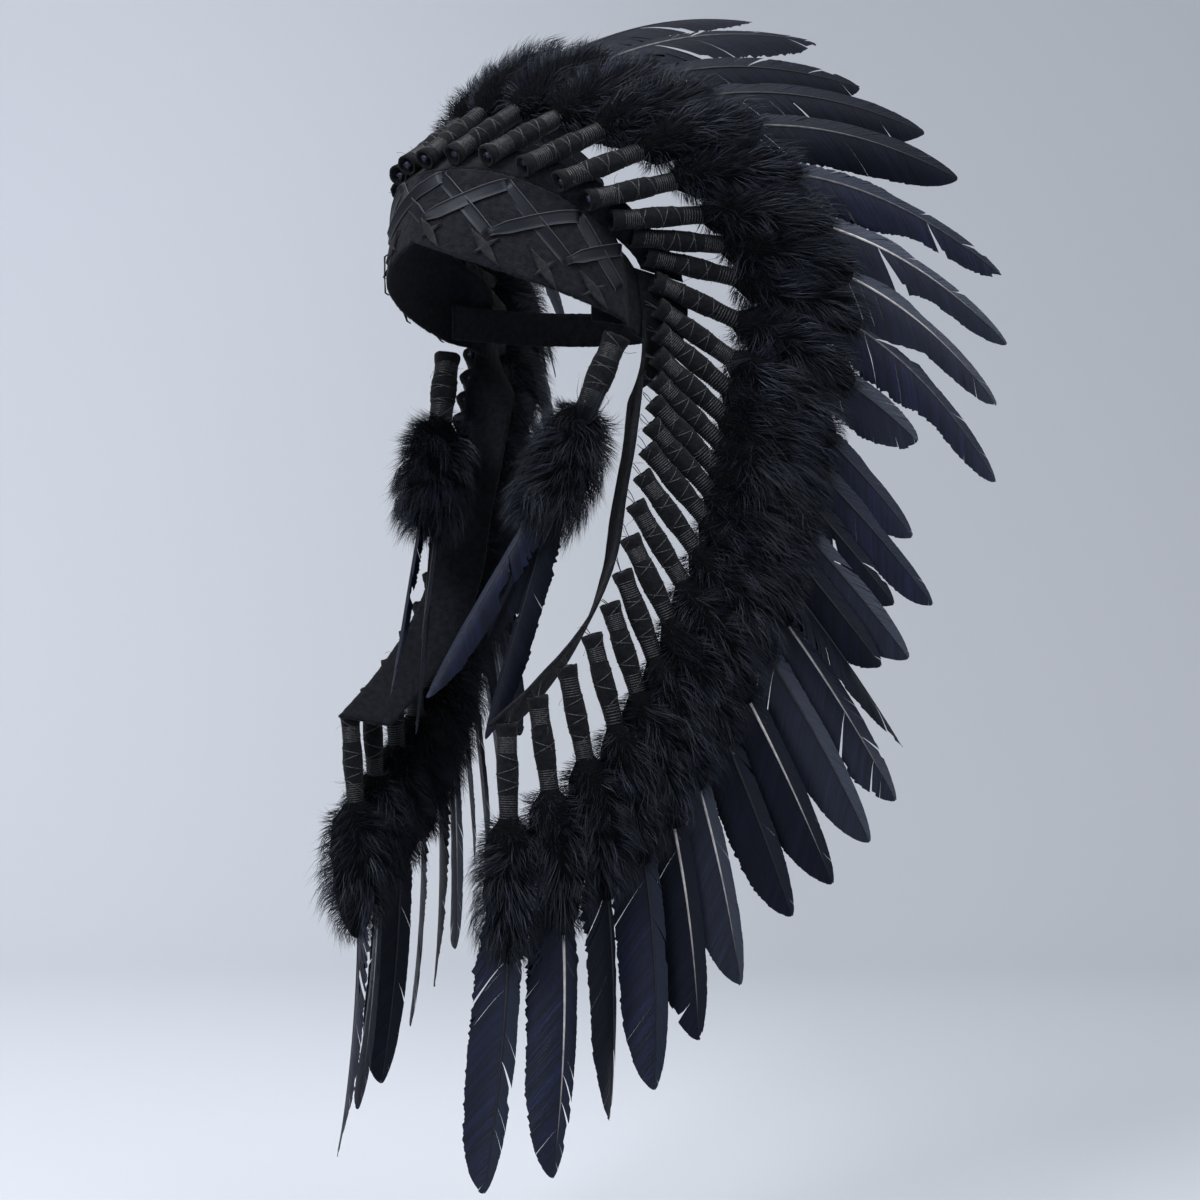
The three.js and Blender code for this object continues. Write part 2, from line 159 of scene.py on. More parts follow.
def on_fan(v, along):
    """(place, heading, out) of the fan's spine lines, for v and along of any matching shapes."""
    v, along = np.broadcast_arrays(np.asarray(v, float), np.asarray(along, float))
    foot = np.stack([column("foot_x", v), column("foot_y", v), column("foot_z", v)], -1)
    tip = np.stack([column("tip_x", v), column("tip_y", v), column("tip_z", v)], -1)
    length = np.linalg.norm(tip - foot, axis=-1)[..., None]
    way = (tip - foot) / length
    arch = square_to(np.broadcast_to(ARCH_WAY, way.shape), way)
    rise = np.tan(np.radians(column("lift", v)))[..., None]

    def line(a):
        s = a[..., None] / length
        bent = np.maximum(0, s - STRAIGHT_SHARE) / (1 - STRAIGHT_SHARE)
        return foot + way * a[..., None] + arch * rise * length * (s - bent * bent)

    place = line(along)
    heading = unit(line(along + 1) - place)
    spine = np.stack([0 * v, 0 * v + HEAD["y"], np.minimum(foot[..., 2], HEAD["z"])], -1)
    out = square_to(unit(foot - spine), heading)
    return place, heading, out


def fan_point(v, along, out):
    place, _, facing = on_fan(v, along)
    return place + facing * np.asarray(out, float)[..., None]


def plume_length(v):
    foot = np.array([column(f"foot_{c}", v) for c in "xyz"])
    tip = np.array([column(f"tip_{c}", v) for c in "xyz"])
    waver = 1 + LENGTH_WAVER["share"] * math.sin(LENGTH_WAVER["step"] * v)
    return float(np.linalg.norm(tip - foot)) * waver * ODD.get(abs(v), REGULAR)[0]


def smooth(low, high, x):
    t = np.clip((np.asarray(x, float) - low) / (high - low), 0, 1)
    return t * t * (3 - 2 * t)


# ---- meshes from arrays ----


class Soup:
    """Points and faces gathered from many small shapes, made into one mesh at the end."""

    def __init__(self, name):
        self.name = name
        self.points, self.faces, self.slots = [], [], []
        self.tags = []  # per point: two free numbers and a tone, read by the materials
        self.count = 0

    def add(self, points, faces, slot=0, tags=None):
        """faces is one (n, 3) or (n, 4) array of point numbers, or a list of such arrays."""
        points = points.reshape(-1, 3)
        tags = np.zeros(points.shape) if tags is None else tags.reshape(-1, 3)
        self.points.append(points)
        self.tags.append(tags)
        for part in faces if isinstance(faces, list) else [faces]:
            self.faces.append(part + self.count)
            self.slots.append(np.full(len(part), slot))
        self.count += len(points)

    def make(self, materials):
        sizes = np.concatenate([np.full(len(f), f.shape[1]) for f in self.faces])
        corners = np.concatenate([f.reshape(-1) for f in self.faces])
        starts = np.concatenate([[0], np.cumsum(sizes)[:-1]])
        mesh = bpy.data.meshes.new(self.name)
        mesh.vertices.add(self.count)
        mesh.vertices.foreach_set("co", (np.concatenate(self.points) * MM).astype(np.float32).ravel())
        mesh.loops.add(len(corners))
        mesh.loops.foreach_set("vertex_index", corners.astype(np.int32))
        mesh.polygons.add(len(sizes))
        mesh.polygons.foreach_set("loop_start", starts.astype(np.int32))
        mesh.polygons.foreach_set("material_index", np.concatenate(self.slots).astype(np.int32))
        mesh.update(calc_edges=True)
        mesh.polygons.foreach_set("use_smooth", np.ones(len(sizes), bool))
        tags = mesh.attributes.new("tags", "FLOAT_VECTOR", "POINT")
        tags.data.foreach_set("vector", np.concatenate(self.tags).astype(np.float32).ravel())
        for material in materials:
            mesh.materials.append(material)
        made = bpy.data.objects.new(self.name, mesh)
        bpy.context.scene.collection.objects.link(made)
        return made


def grid_faces(rows, columns, closed=False):
    """Quads of a grid of points; closed joins the last column to the first."""
    r = np.arange(rows - 1)[:, None] * columns
    wide = columns if closed else columns - 1
    c = np.arange(wide)[None, :]
    d = (c + 1) % columns
    return np.stack([r + c, r + d, r + columns + d, r + columns + c], -1).reshape(-1, 4)


def fan_faces(ring, centre, turned=False):
    """Triangles from each edge of a ring of point numbers to one centre."""
    after = np.roll(ring, -1)
    pair = (after, ring) if turned else (ring, after)
    return np.stack([*pair, np.full(len(ring), centre)], -1)


def around(sides):
    """Evenly spaced angles round a circle."""
    return np.arange(sides) * 2 * math.pi / sides


def border(grid):
    """The points or numbers round the edge of a grid, in order."""
    return np.concatenate([grid[0, :-1], grid[:-1, -1], grid[-1, :0:-1], grid[:0:-1, 0]])


def add_wall(soup, top, bottom, tags=None):
    """A thin closed wall between two grids of points."""
    rows, columns = top.shape[:2]
    count = rows * columns
    edge = border(np.arange(count).reshape(rows, columns))
    after = np.roll(edge, -1)
    sides = np.stack([edge, edge + count, after + count, after], -1)
    faces = grid_faces(rows, columns)
    points = np.concatenate([top.reshape(-1, 3), bottom.reshape(-1, 3)])
    if tags is not None:
        tags = np.concatenate([tags.reshape(-1, 3)] * 2)
    soup.add(points, [faces, faces[:, ::-1] + count, sides], tags=tags)


def wavy(points, size, seed):
    """A smooth pseudo-random value between -1 and 1 for each point: a few sines in fixed directions."""
    rng = np.random.default_rng(seed)
    total = np.zeros(points.shape[:-1])
    for _ in range(5):
        direction = unit(rng.normal(size=3)) * rng.uniform(0.6, 1.7) * 2 * math.pi / size
        total += np.sin(points @ direction + rng.uniform(0, 2 * math.pi))
    return total / 5


# ---- hairs, threads and fibres ----


def strands(soup, roots, mids, ends, width, slot, tone, rng):
    """Many hairs at once, each a flat tapering strip of two lengths from root past mid to end."""
    count = len(roots)
    halfway = (roots + ends) / 4 + mids / 2
    side = square_to(rng.normal(size=(count, 3)), unit(ends - roots))
    wide = side * np.broadcast_to(width, (count,))[:, None] / 2
    bend = wide * 0.75
    points = np.stack([roots - wide, roots + wide, halfway - bend, halfway + bend, ends], 1)
    base = np.arange(count)[:, None] * 5
    level = np.repeat(np.array([0, 0, 0.5, 0.5, 1.0])[None], count, 0)
    tags = np.stack([level, np.zeros_like(level), np.repeat(tone[:, None], 5, 1)], -1)
    soup.add(points, [base + np.array([[0, 1, 3, 2]]), base + np.array([[2, 3, 4]])], slot, tags)


def thread(soup, path, outward, width, slot, height=0.5):
    """A thread laid on a surface: a low ridge, two faces wide, along path."""
    side = unit(np.cross(unit(np.gradient(path, axis=0)), outward)) * width / 2
    points = np.stack([path - side, path + unit(outward) * width * height, path + side], 1)
    soup.add(points, grid_faces(len(path), 3), slot)


def any_side(path, rng):
    """A random direction, made square to the path."""
    return square_to(np.broadcast_to(rng.normal(size=3), path.shape), unit(np.gradient(path, axis=0)))


def loose_end(soup, start, direction, rng, length, width, slot):
    """A free thread end that curls away from start."""
    steps = 7
    bend = unit(rng.normal(size=3)) * 0.5
    path, heading = [start], unit(direction)
    for _ in range(steps):
        heading = unit(heading + bend * 0.5 + rng.normal(size=3) * 0.18 - UP * 0.06)
        path.append(path[-1] + heading * length / steps)
    path = np.array(path)
    thread(soup, path, any_side(path, rng), width, slot)


def fibres(soup, roots, directions, length, width, slot, rng):
    """Short stray fibres of felt."""
    reach = length * rng.uniform(0.35, 1.0, len(roots))[:, None]
    heading = unit(directions + rng.normal(size=roots.shape) * 0.55)
    ends = roots + heading * reach
    mids = roots + heading * reach * 0.5 + rng.normal(size=roots.shape) * 0.18 * length
    strands(soup, roots, mids, ends, width, slot, rng.uniform(0, 1, len(roots)), rng)


# ---- materials ----


class Nodes:
    """A short way to write a material's nodes."""

    def __init__(self, name):
        self.material = bpy.data.materials.new(name)
        self.material.use_nodes = True
        self.tree = self.material.node_tree
        self.shader = self.tree.nodes["Principled BSDF"]
        self.coordinates = self.node("ShaderNodeTexCoord").outputs["Object"]

    def node(self, kind, **settings):
        made = self.tree.nodes.new(kind)
        for key, value in settings.items():
            setattr(made, key, value)
        return made

    def link(self, source, target):
        self.tree.links.new(source, target)

    def value(self, socket, value):
        if isinstance(value, bpy.types.NodeSocket):
            self.link(value, socket)
        else:
            socket.default_value = value

    def tag(self, index):
        """One of the three numbers that each point carries."""
        read = self.node("ShaderNodeAttribute", attribute_name="tags")
        split = self.node("ShaderNodeSeparateXYZ")
        self.link(read.outputs["Vector"], split.inputs[0])
        return split.outputs[index]

    def noise(self, scale, detail, stretch=(1, 1, 1), at=None):
        """scale is in cycles a metre."""
        mapping = self.node("ShaderNodeMapping")
        self.link(self.coordinates if at is None else at, mapping.inputs["Vector"])
        mapping.inputs["Scale"].default_value = stretch
        made = self.node("ShaderNodeTexNoise")
        made.inputs["Scale"].default_value = scale
        made.inputs["Detail"].default_value = detail
        self.link(mapping.outputs[0], made.inputs["Vector"])
        return made.outputs["Fac"]

    def math(self, operation, a, b):
        made = self.node("ShaderNodeMath", operation=operation)
        self.value(made.inputs[0], a)
        self.value(made.inputs[1], b)
        return made.outputs[0]

    def between(self, value, low, high, to_low=0.0, to_high=1.0):
        made = self.node("ShaderNodeMapRange")
        self.link(value, made.inputs["Value"])
        for key, number in (("From Min", low), ("From Max", high), ("To Min", to_low), ("To Max", to_high)):
            made.inputs[key].default_value = number
        return made.outputs[0]

    def mix(self, share, a, b):
        made = self.node("ShaderNodeMix", data_type="RGBA")
        self.value(made.inputs[0], share)
        self.value(made.inputs[6], a if isinstance(a, bpy.types.NodeSocket) else (*a, 1))
        self.value(made.inputs[7], b if isinstance(b, bpy.types.NodeSocket) else (*b, 1))
        return made.outputs[2]

    def bump(self, height, strength, distance):
        made = self.node("ShaderNodeBump")
        made.inputs["Strength"].default_value = strength
        made.inputs["Distance"].default_value = distance
        self.link(height, made.inputs["Height"])
        self.link(made.outputs[0], self.shader.inputs["Normal"])

    def surface(self, colour, roughness, **others):
        self.value(self.shader.inputs["Base Color"], colour)
        self.value(self.shader.inputs["Roughness"], roughness)
        for key, value in others.items():
            self.shader.inputs[key.replace("_", " ")].default_value = value
        return self.material


COOL_TINT = (0.70, 0.79, 1.0, 1)  # of the highlights on fur and feathers
SHAFT_TIP = (0.004, 0.0045, 0.007)


def felt_material(name, dark, light, fleck):
    made = Nodes(name)
    mottle = made.between(made.noise(240, 4), 0.32, 0.7)
    fibre = made.noise(1500, 4, stretch=(1, 1, 0.45))
    colour = made.mix(mottle, dark, light)
    colour = made.mix(made.between(fibre, 0.62, 0.8, 0, 0.4), colour, fleck)
    made.bump(made.math("ADD", fibre, made.math("MULTIPLY", mottle, 0.8)), 0.75, 0.0009)
    return made.surface(colour, 0.95, Sheen_Weight=0.03, Sheen_Roughness=0.5, Specular_IOR_Level=0.1)


def ribbon_material():
    made = Nodes("ribbon_satin")
    # edge picks out the ribbon's bound edges, which are mixed towards pale grey: a painted highlight, as
    # satin catches the light along them.
    edge = made.between(made.tag(1), 0.88, 0.94)
    weave = made.noise(2600, 2, stretch=(1, 1, 3))
    colour = made.mix(made.between(weave, 0.3, 0.75), (0.0028, 0.0032, 0.005), (0.0055, 0.006, 0.0088))
    colour = made.mix(made.math("MULTIPLY", edge, 0.5), colour, (0.085, 0.088, 0.098))
    made.bump(weave, 0.25, 0.0003)
    return made.surface(colour, 0.42, Specular_IOR_Level=0.21, Specular_Tint=(0.78, 0.85, 1.0, 1))


def thread_material():
    made = Nodes("thread_black")
    # glint is a painted glint: random spots along the thread are mixed towards pale blue-grey, as if catching
    # the lamps, and are made less rough.
    glint = made.between(made.noise(900, 2), 0.46, 0.7)
    colour = made.mix(glint, (0.0042, 0.0048, 0.0064), (0.034, 0.0375, 0.047))
    made.bump(made.noise(4000, 2), 0.3, 0.0002)
    return made.surface(colour, made.between(glint, 0, 1, 0.55, 0.4), Specular_IOR_Level=0.35)


def hair_material():
    made = Nodes("fur_black")
    tone = made.between(made.tag(2), 0.35, 1.0)
    level = made.tag(0)
    colour = made.mix(tone, (0.0011, 0.0012, 0.0021), (0.006, 0.0076, 0.0145))
    # Towards the hairs' ends the colour is mixed towards a lighter blue: a painted highlight on the tips, as
    # they catch the light.
    ends = made.math("MULTIPLY", made.between(level, 0.5, 1.0), 0.4)
    colour = made.mix(ends, colour, (0.0055, 0.0064, 0.0105))
    patch = made.between(made.noise(24, 2), 0.5, 0.7, 0, 0.5)
    colour = made.mix(patch, colour, (0.0042, 0.006, 0.0135))
    rough = made.between(tone, 0, 1, 0.6, 0.42)
    return made.surface(colour, rough, Specular_IOR_Level=0.3, Specular_Tint=COOL_TINT)


def underfur_material():
    made = Nodes("fur_under")
    colour = made.mix(made.noise(700, 3), (0.001, 0.0011, 0.0016), (0.0026, 0.003, 0.004))
    made.bump(made.noise(900, 3), 0.8, 0.002)
    return made.surface(colour, 0.95, Specular_IOR_Level=0.05)


def vane_material(name, dark, light, lead_sheen, shine):
    """Barbs run as fine streaks. Tag 0 counts them. Tag 1 runs from 0 at the shaft to 1 at the trailing
    edge and to -1 at the other, on side -1, where lead_sheen is mixed in as a painted sheen of that lit vane."""
    made = Nodes(name)
    barb, reach, tone = made.tag(0), made.tag(1), made.tag(2)
    place = made.node("ShaderNodeCombineXYZ")
    made.link(barb, place.inputs[0])
    made.link(made.math("MULTIPLY", reach, 0.8), place.inputs[1])
    streak = made.noise(2.1, 3, at=place.outputs[0])
    band = made.noise(0.6, 2, at=place.outputs[0])
    broad = made.noise(0.16, 2, at=place.outputs[0])
    colour = made.mix(made.between(broad, 0.35, 0.65), dark, light)
    colour = made.mix(made.between(band, 0.45, 0.62, 0, 0.6), colour, (0.0012, 0.0015, 0.003))
    colour = made.mix(made.between(streak, 0.35, 0.75, 0, 0.45), colour, (0.0015, 0.0018, 0.0035))
    # tone darkens some barbs in a wave across each bundle: painted shade that varies from barb to barb.
    colour = made.mix(made.math("MULTIPLY", tone, 0.5), colour, (0.0012, 0.0015, 0.0028))
    # On side -1 the vane is mixed towards lead_sheen: a painted sheen where that vane faces the light, broken
    # up by the barb streaks.
    before_shaft = made.math("LESS_THAN", reach, 0.0)
    lead_sheen_share = made.math("MULTIPLY", before_shaft, made.between(streak, 0.3, 0.8, 0.9, 0.3))
    colour = made.mix(lead_sheen_share, colour, lead_sheen)
    made.bump(made.math("ADD", streak, band), 0.6, 0.0007)
    rough = made.between(streak, 0.3, 0.7, 0.42, 0.56)
    return made.surface(colour, rough, Specular_IOR_Level=shine, Specular_Tint=COOL_TINT)


def shaft_material(name, low, high):
    """Tag 0 runs from 0 in the fur to 1 at the tip, where all shafts are dark."""
    made = Nodes(name)
    colour = made.mix(made.between(made.noise(180, 2), 0.3, 0.7), low, high)
    colour = made.mix(made.between(made.tag(0), 0.5, 0.95), colour, SHAFT_TIP)
    made.bump(made.noise(1200, 2), 0.15, 0.0003)
    return made.surface(colour, 0.5, Specular_IOR_Level=0.3)


def backdrop_material():
    made = Nodes("backdrop_paper")
    split = made.node("ShaderNodeSeparateXYZ")
    made.link(made.coordinates, split.inputs[0])
    # Painted light: across grows towards the camera's right, and the paper goes from bright on the left to
    # darker on the right, as if lit from the left.
    across = made.math("ADD", split.outputs[0], split.outputs[1])
    paper_light_falloff = made.mix(made.between(across, -1.9, 0.5), (0.74, 0.775, 0.85), (0.485, 0.51, 0.56))
    colour = made.mix(made.math("MULTIPLY", made.noise(0.8, 2), 0.12), paper_light_falloff, (0.62, 0.64, 0.68))
    return made.surface(colour, 0.95, Specular_IOR_Level=0.1)


FELT_LOOK = felt_material(
    "felt_black", (0.0033, 0.0039, 0.0058), (0.0088, 0.0099, 0.0140), (0.027, 0.0295, 0.038)
)
# A lighter copy of the band's felt for the raised stitches: painted light, so that they show up as lit
# against the band.
STITCH_LOOK = felt_material(
    "felt_stitch", (0.009, 0.0096, 0.0115), (0.019, 0.020, 0.0235), (0.05, 0.052, 0.058)
)
QUILL_LOOK = felt_material(
    "felt_quill", (0.0018, 0.0021, 0.0031), (0.0050, 0.0057, 0.0082), (0.018, 0.0205, 0.027)
)
RIBBON_LOOK = ribbon_material()
THREAD_LOOK = thread_material()
HAIR_LOOK = hair_material()
UNDERFUR_LOOK = underfur_material()
# dark and light of the vane, the painted sheen of the vane on side -1 (lead_sheen), and how far it shines
# The looks are copies of one vane at different brightness: ink is darker, painted in shade; slate is lighter
# with a brighter painted sheen, painted lit; navy lies between.
VANE_ROWS = {
    "navy": ((0.0019, 0.0028, 0.0115), (0.0048, 0.0068, 0.027), (0.009, 0.0115, 0.021), 0.25),
    "slate": ((0.0022, 0.0031, 0.0095), (0.0058, 0.0078, 0.021), (0.029, 0.034, 0.049), 0.32),
    "ink": ((0.0012, 0.0016, 0.0050), (0.0028, 0.0038, 0.0105), (0.006, 0.0072, 0.0115), 0.13),
}
VANE_LOOKS = {name: vane_material(f"vane_{name}", *row) for name, row in VANE_ROWS.items()}
# low and high of the shaft's mottle
SHAFT_ROWS = {
    "pale": ((0.26, 0.25, 0.255), (0.46, 0.445, 0.45)),
    "grey": ((0.035, 0.036, 0.042), (0.09, 0.09, 0.10)),
    "dark": ((0.004, 0.0045, 0.007), (0.010, 0.011, 0.016)),
    "foot": ((0.002, 0.0022, 0.006), (0.0075, 0.0095, 0.030)),
}
SHAFT_LOOKS = {name: shaft_material(f"shaft_{name}", *row) for name, row in SHAFT_ROWS.items()}
# The materials of each kind of piece, and the slots that its parts have in them.
QUILL_LOOKS = [QUILL_LOOK, THREAD_LOOK, SHAFT_LOOKS["foot"]]
TUBE, WINDING, STUB = 0, 1, 2
FUR_LOOKS = [HAIR_LOOK, UNDERFUR_LOOK]
HAIR, CORE = 0, 1
VANE, SHAFT = 0, 1


# ---- one feather ----


class Spine:
    """A line through sampled places, with the directions out and across that go along it."""

    def __init__(self, places, out, length, aside=None):
        self.steps = np.linspace(0, length, len(places))
        self.length = length
        self.places = places
        self.heading = unit(np.gradient(places, axis=0))
        self.out = square_to(out, self.heading)
        across = np.cross(self.heading, self.out)
        if aside is not None and np.sum(across[0] * aside) < 0:
            across = -across
        self.across = across

    def read(self, table, along):
        return np.stack([np.interp(along, self.steps, table[:, i]) for i in range(3)], -1)

    def at(self, along, aside=0.0, off=0.0, turn=0.0):
        """Points beside the line; turn rolls them round it, in degrees."""
        along, aside, off, turn = np.broadcast_arrays(along, aside, off, np.radians(turn))
        place = self.read(self.places, along)
        out = square_to(self.read(self.out, along), unit(self.read(self.heading, along)))
        across = square_to(self.read(self.across, along), out)
        wide = (aside * np.cos(turn) - off * np.sin(turn))[..., None]
        high = (aside * np.sin(turn) + off * np.cos(turn))[..., None]
        return place + across * wide + out * high

    def heading_at(self, along):
        return unit(self.read(self.heading, along))


BARB_PITCH = 1.75  # mm along the shaft
BARB_POINTS = 5
TIP_BARBS = {"count": 9, "from": 9.0, "to": 0.8}  # mm before the tip, where barbs stand closer
# Side -1 leads and side 1 trails. width: share of the feather's half width. angle: degrees between barb
# and shaft. camber: mm that its edge drops. slim: where a notch starts and ends. teeth: how jagged it is.
VANES = (
    {"side": -1, "width": 0.54, "angle": 27, "camber": 2.4, "slim": (0.48, 0.62), "teeth": 0.4},
    {"side": 1, "width": 1.42, "angle": 37, "camber": 5.0, "slim": (0.53, 0.72), "teeth": 1.0},
)
# The blade's outline. root: share of its width where it starts, and full: share of its length by which it
# has widened. tip: share of its length where its end begins to round off, by the powers blunt, which a
# notch makes more_blunt, and round. taper: share of its width lost from root to tip.
BLADE = {
    "root": 0.5, "full": 0.32, "tip": 0.62, "blunt": 2.7, "more_blunt": 3, "round": 0.62, "taper": 0.08,
}
# Barbs hold together in bundles of so many. slide: mm along the vane, and torn: mm where it has split, as
# a torn share of bundles has. tilt: mm off the vane. tooth: least and further share of its length that
# its last barb lacks. fray and down: the same from barb to barb, all along and near the root. A broken
# share of bundles lacks as much as short says.
BUNDLE = {
    "barbs": (3, 12), "slide": 0.22, "torn": 0.022, "tear": (1.5, 4.5), "tilt": 0.35, "tooth": (0.01, 0.06),
    "fray": 0.012, "down": 0.05, "broken": 0.04, "short": (0.12, 0.35),
}


def blade_width(share, half, slim, notch):
    """Half the blade's width at a share of its length: narrow at the root and blunt at the tip."""
    near_tip = np.clip((share - BLADE["tip"]) / (1 - BLADE["tip"]), 0, 1)
    root = BLADE["root"] + (1 - BLADE["root"]) * smooth(0, BLADE["full"], share)
    left = 1 - notch * smooth(*slim, share)
    blunt = BLADE["blunt"] + BLADE["more_blunt"] * notch
    end = (1 - near_tip**blunt) ** BLADE["round"]
    return half * root * left * end * (1 - BLADE["taper"] * share)


def barb_ends(roots, tip, width_at, slope):
    """How far along the barbs from these roots meet the vane's edge, by halving."""
    low, high = roots.copy(), np.full(len(roots), tip)
    for _ in range(18):
        ends = (low + high) / 2
        beyond = (ends - roots) > width_at(ends) * slope
        low, high = np.where(beyond, low, ends), np.where(beyond, ends, high)
    return ends


def vane(soup, spine, start, rng, look, half, roll, ragged, notch):
    """One vane, bundle by bundle. look: its row of VANES. half: the feather's half width in mm."""
    length, side = spine.length - start, look["side"]
    slope = 1 / math.tan(math.radians(look["angle"]))

    def width_at(along):
        return blade_width((along - start) / length, half, look["slim"], notch) * look["width"]

    fine = np.linspace(spine.length - TIP_BARBS["from"], spine.length - TIP_BARBS["to"], TIP_BARBS["count"])
    starts = np.concatenate([np.arange(start, fine[0] - 0.8, BARB_PITCH), fine])
    wave = 1 + 0.05 * wavy(np.stack([starts, 0 * starts, 0 * starts], -1), 60, int(rng.integers(1 << 30)))
    u = np.linspace(0, 1, BARB_POINTS)[None]
    first = 0
    while first < len(starts) - 1:
        last = min(first + int(rng.integers(*BUNDLE["barbs"])), len(starts) - 1)
        rows = np.arange(first, last + 1)
        first, roots = last, starts[rows]
        saw = np.linspace(0, 1, len(rows))
        slide = rng.normal() * BUNDLE["slide"] * ragged
        if rng.random() < BUNDLE["torn"] * ragged:
            slide += rng.choice([-1, 1]) * rng.uniform(*BUNDLE["tear"])
        tilt = rng.normal() * BUNDLE["tilt"]
        least, further = BUNDLE["tooth"]
        tooth = (least + further * ragged * rng.random()) * look["teeth"]
        down = BUNDLE["down"] * (1 - smooth(0.1, 0.45, (roots - start) / length))
        share = 1 - tooth * saw + rng.normal(size=len(rows)) * (BUNDLE["fray"] * ragged + down)
        if rng.random() < BUNDLE["broken"] * ragged:
            share = share - rng.uniform(*BUNDLE["short"])
        ends = barb_ends(roots, spine.length, width_at, slope)
        reach = (ends - roots) / slope * wave[rows] * share
        away = reach[:, None] * u**0.92
        along = roots[:, None] + (ends - roots)[:, None] * u**1.12 + slide * u**3
        along = np.minimum(along, spine.length - 0.05)
        drop = -look["camber"] * (away / half) ** 2 + tilt * u**1.5 * (saw[:, None] - 0.2)
        points = spine.at(along, side * away, drop + 0.15, roll(along))
        # tone rises and falls across the bundle; the material darkens the vane by it, as painted shade.
        tone = np.clip(0.5 + 0.5 * np.sin(saw * math.pi * 1.6 + rng.uniform(0, 2)), 0, 1)[:, None] + 0 * u
        tags = np.stack([(roots / BARB_PITCH)[:, None] + 0 * u, side * u + 0 * along, tone], -1)
        soup.add(points, grid_faces(len(rows), BARB_POINTS), VANE, tags)


def feather(soup, spine, start, rng, half, twist, ragged, notch=0.0):
    """Two vanes of barbs and a shaft, from start to the spine's end. twist: roll at start and at the tip."""

    def roll(along):
        return np.interp(along, [start, spine.length], twist)

    for look in VANES:
        vane(soup, spine, start, rng, look, half, roll, ragged, notch)
    shaft(soup, spine, start, half, roll)


def shaft(soup, spine, start, half, roll):
    """The shaft: a tapering tube that stands a little proud of both faces."""
    inside, short, sides = 30, 6.0, 6  # mm inside the fur, mm short of the tip
    along = np.linspace(start - inside, spine.length - short, 26)
    radius = np.interp(along, [start, spine.length - short], [0.08 * half, 0.012 * half])[:, None]
    angle = around(sides)
    points = spine.at(
        along[:, None], radius * np.cos(angle), 0.2 + radius * 0.9 * np.sin(angle), roll(along)[:, None]
    )
    share = np.linspace(0, 1, len(along))[:, None] + 0 * angle
    tags = np.stack([share, 0 * share, 0 * share], -1)
    soup.add(points, grid_faces(len(along), sides, closed=True), SHAFT, tags)


# ---- one tuft of fur ----

# (mm from the foot, share of the tuft's full size there)
PLUME_TUFT = ((61, 0.25), (66, 0.66), (76, 0.9), (92, 1.0), (118, 0.97), (138, 0.8), (152, 0.5), (162, 0.12))
DROP_TUFT = ((52, 0.25), (58, 0.75), (70, 0.96), (96, 1.0), (122, 0.92), (138, 0.6), (148, 0.12))
CORE_SHARE = 0.6  # of the tuft's size is a dense dark core, and the rest is loose hair
ROOT_SHARE = CORE_SHARE * 0.92  # hairs start a little inside the core
HAIRS_A_CLUMP = 48
GUARD = {"share": 0.15, "reach": 1.4, "width": 0.28}  # of the hairs are longer and finer
LONGEST_HAIR = 30
# How hair lies. lean: towards the tip, at the tuft's start, spread mm further on and at its end. swirl and
# stray: how far clumps and single hairs turn from it. reach: shares of the way from the core to the
# tuft's surface. gather: shares that the tips close in on their clump's middle.
LIE = {
    "lean": (-0.55, 0.45, 1.7), "spread": 22, "swirl": 0.3, "stray": 0.17, "steepest": 0.42, "sag": 1.0,
    "clump_reach": (0.8, 1.12), "reach": (0.72, 1.12), "gather": (0.0, 0.34), "width": (0.26, 0.52),
}


def tuft_core(soup, spine, rng, surface, low, high):
    """The lumpy closed body under the hair, from low to high along the spine."""
    rows, sides = 9, 12
    levels = np.linspace(low, high, rows)
    lumps = CORE_SHARE * (1 + 0.08 * rng.normal(size=(rows, sides)))
    body = surface(levels[:, None], around(sides) + 0 * lumps, lumps).reshape(-1, 3)
    ends = spine.at(np.array([low - 1.5, high + 2.0]))
    count = rows * sides
    first, last = np.arange(sides), np.arange(count - sides, count)
    faces = [
        grid_faces(rows, sides, closed=True), fan_faces(first, count, turned=True), fan_faces(last, count + 1)
    ]
    soup.add(np.concatenate([body, ends]), faces, CORE)


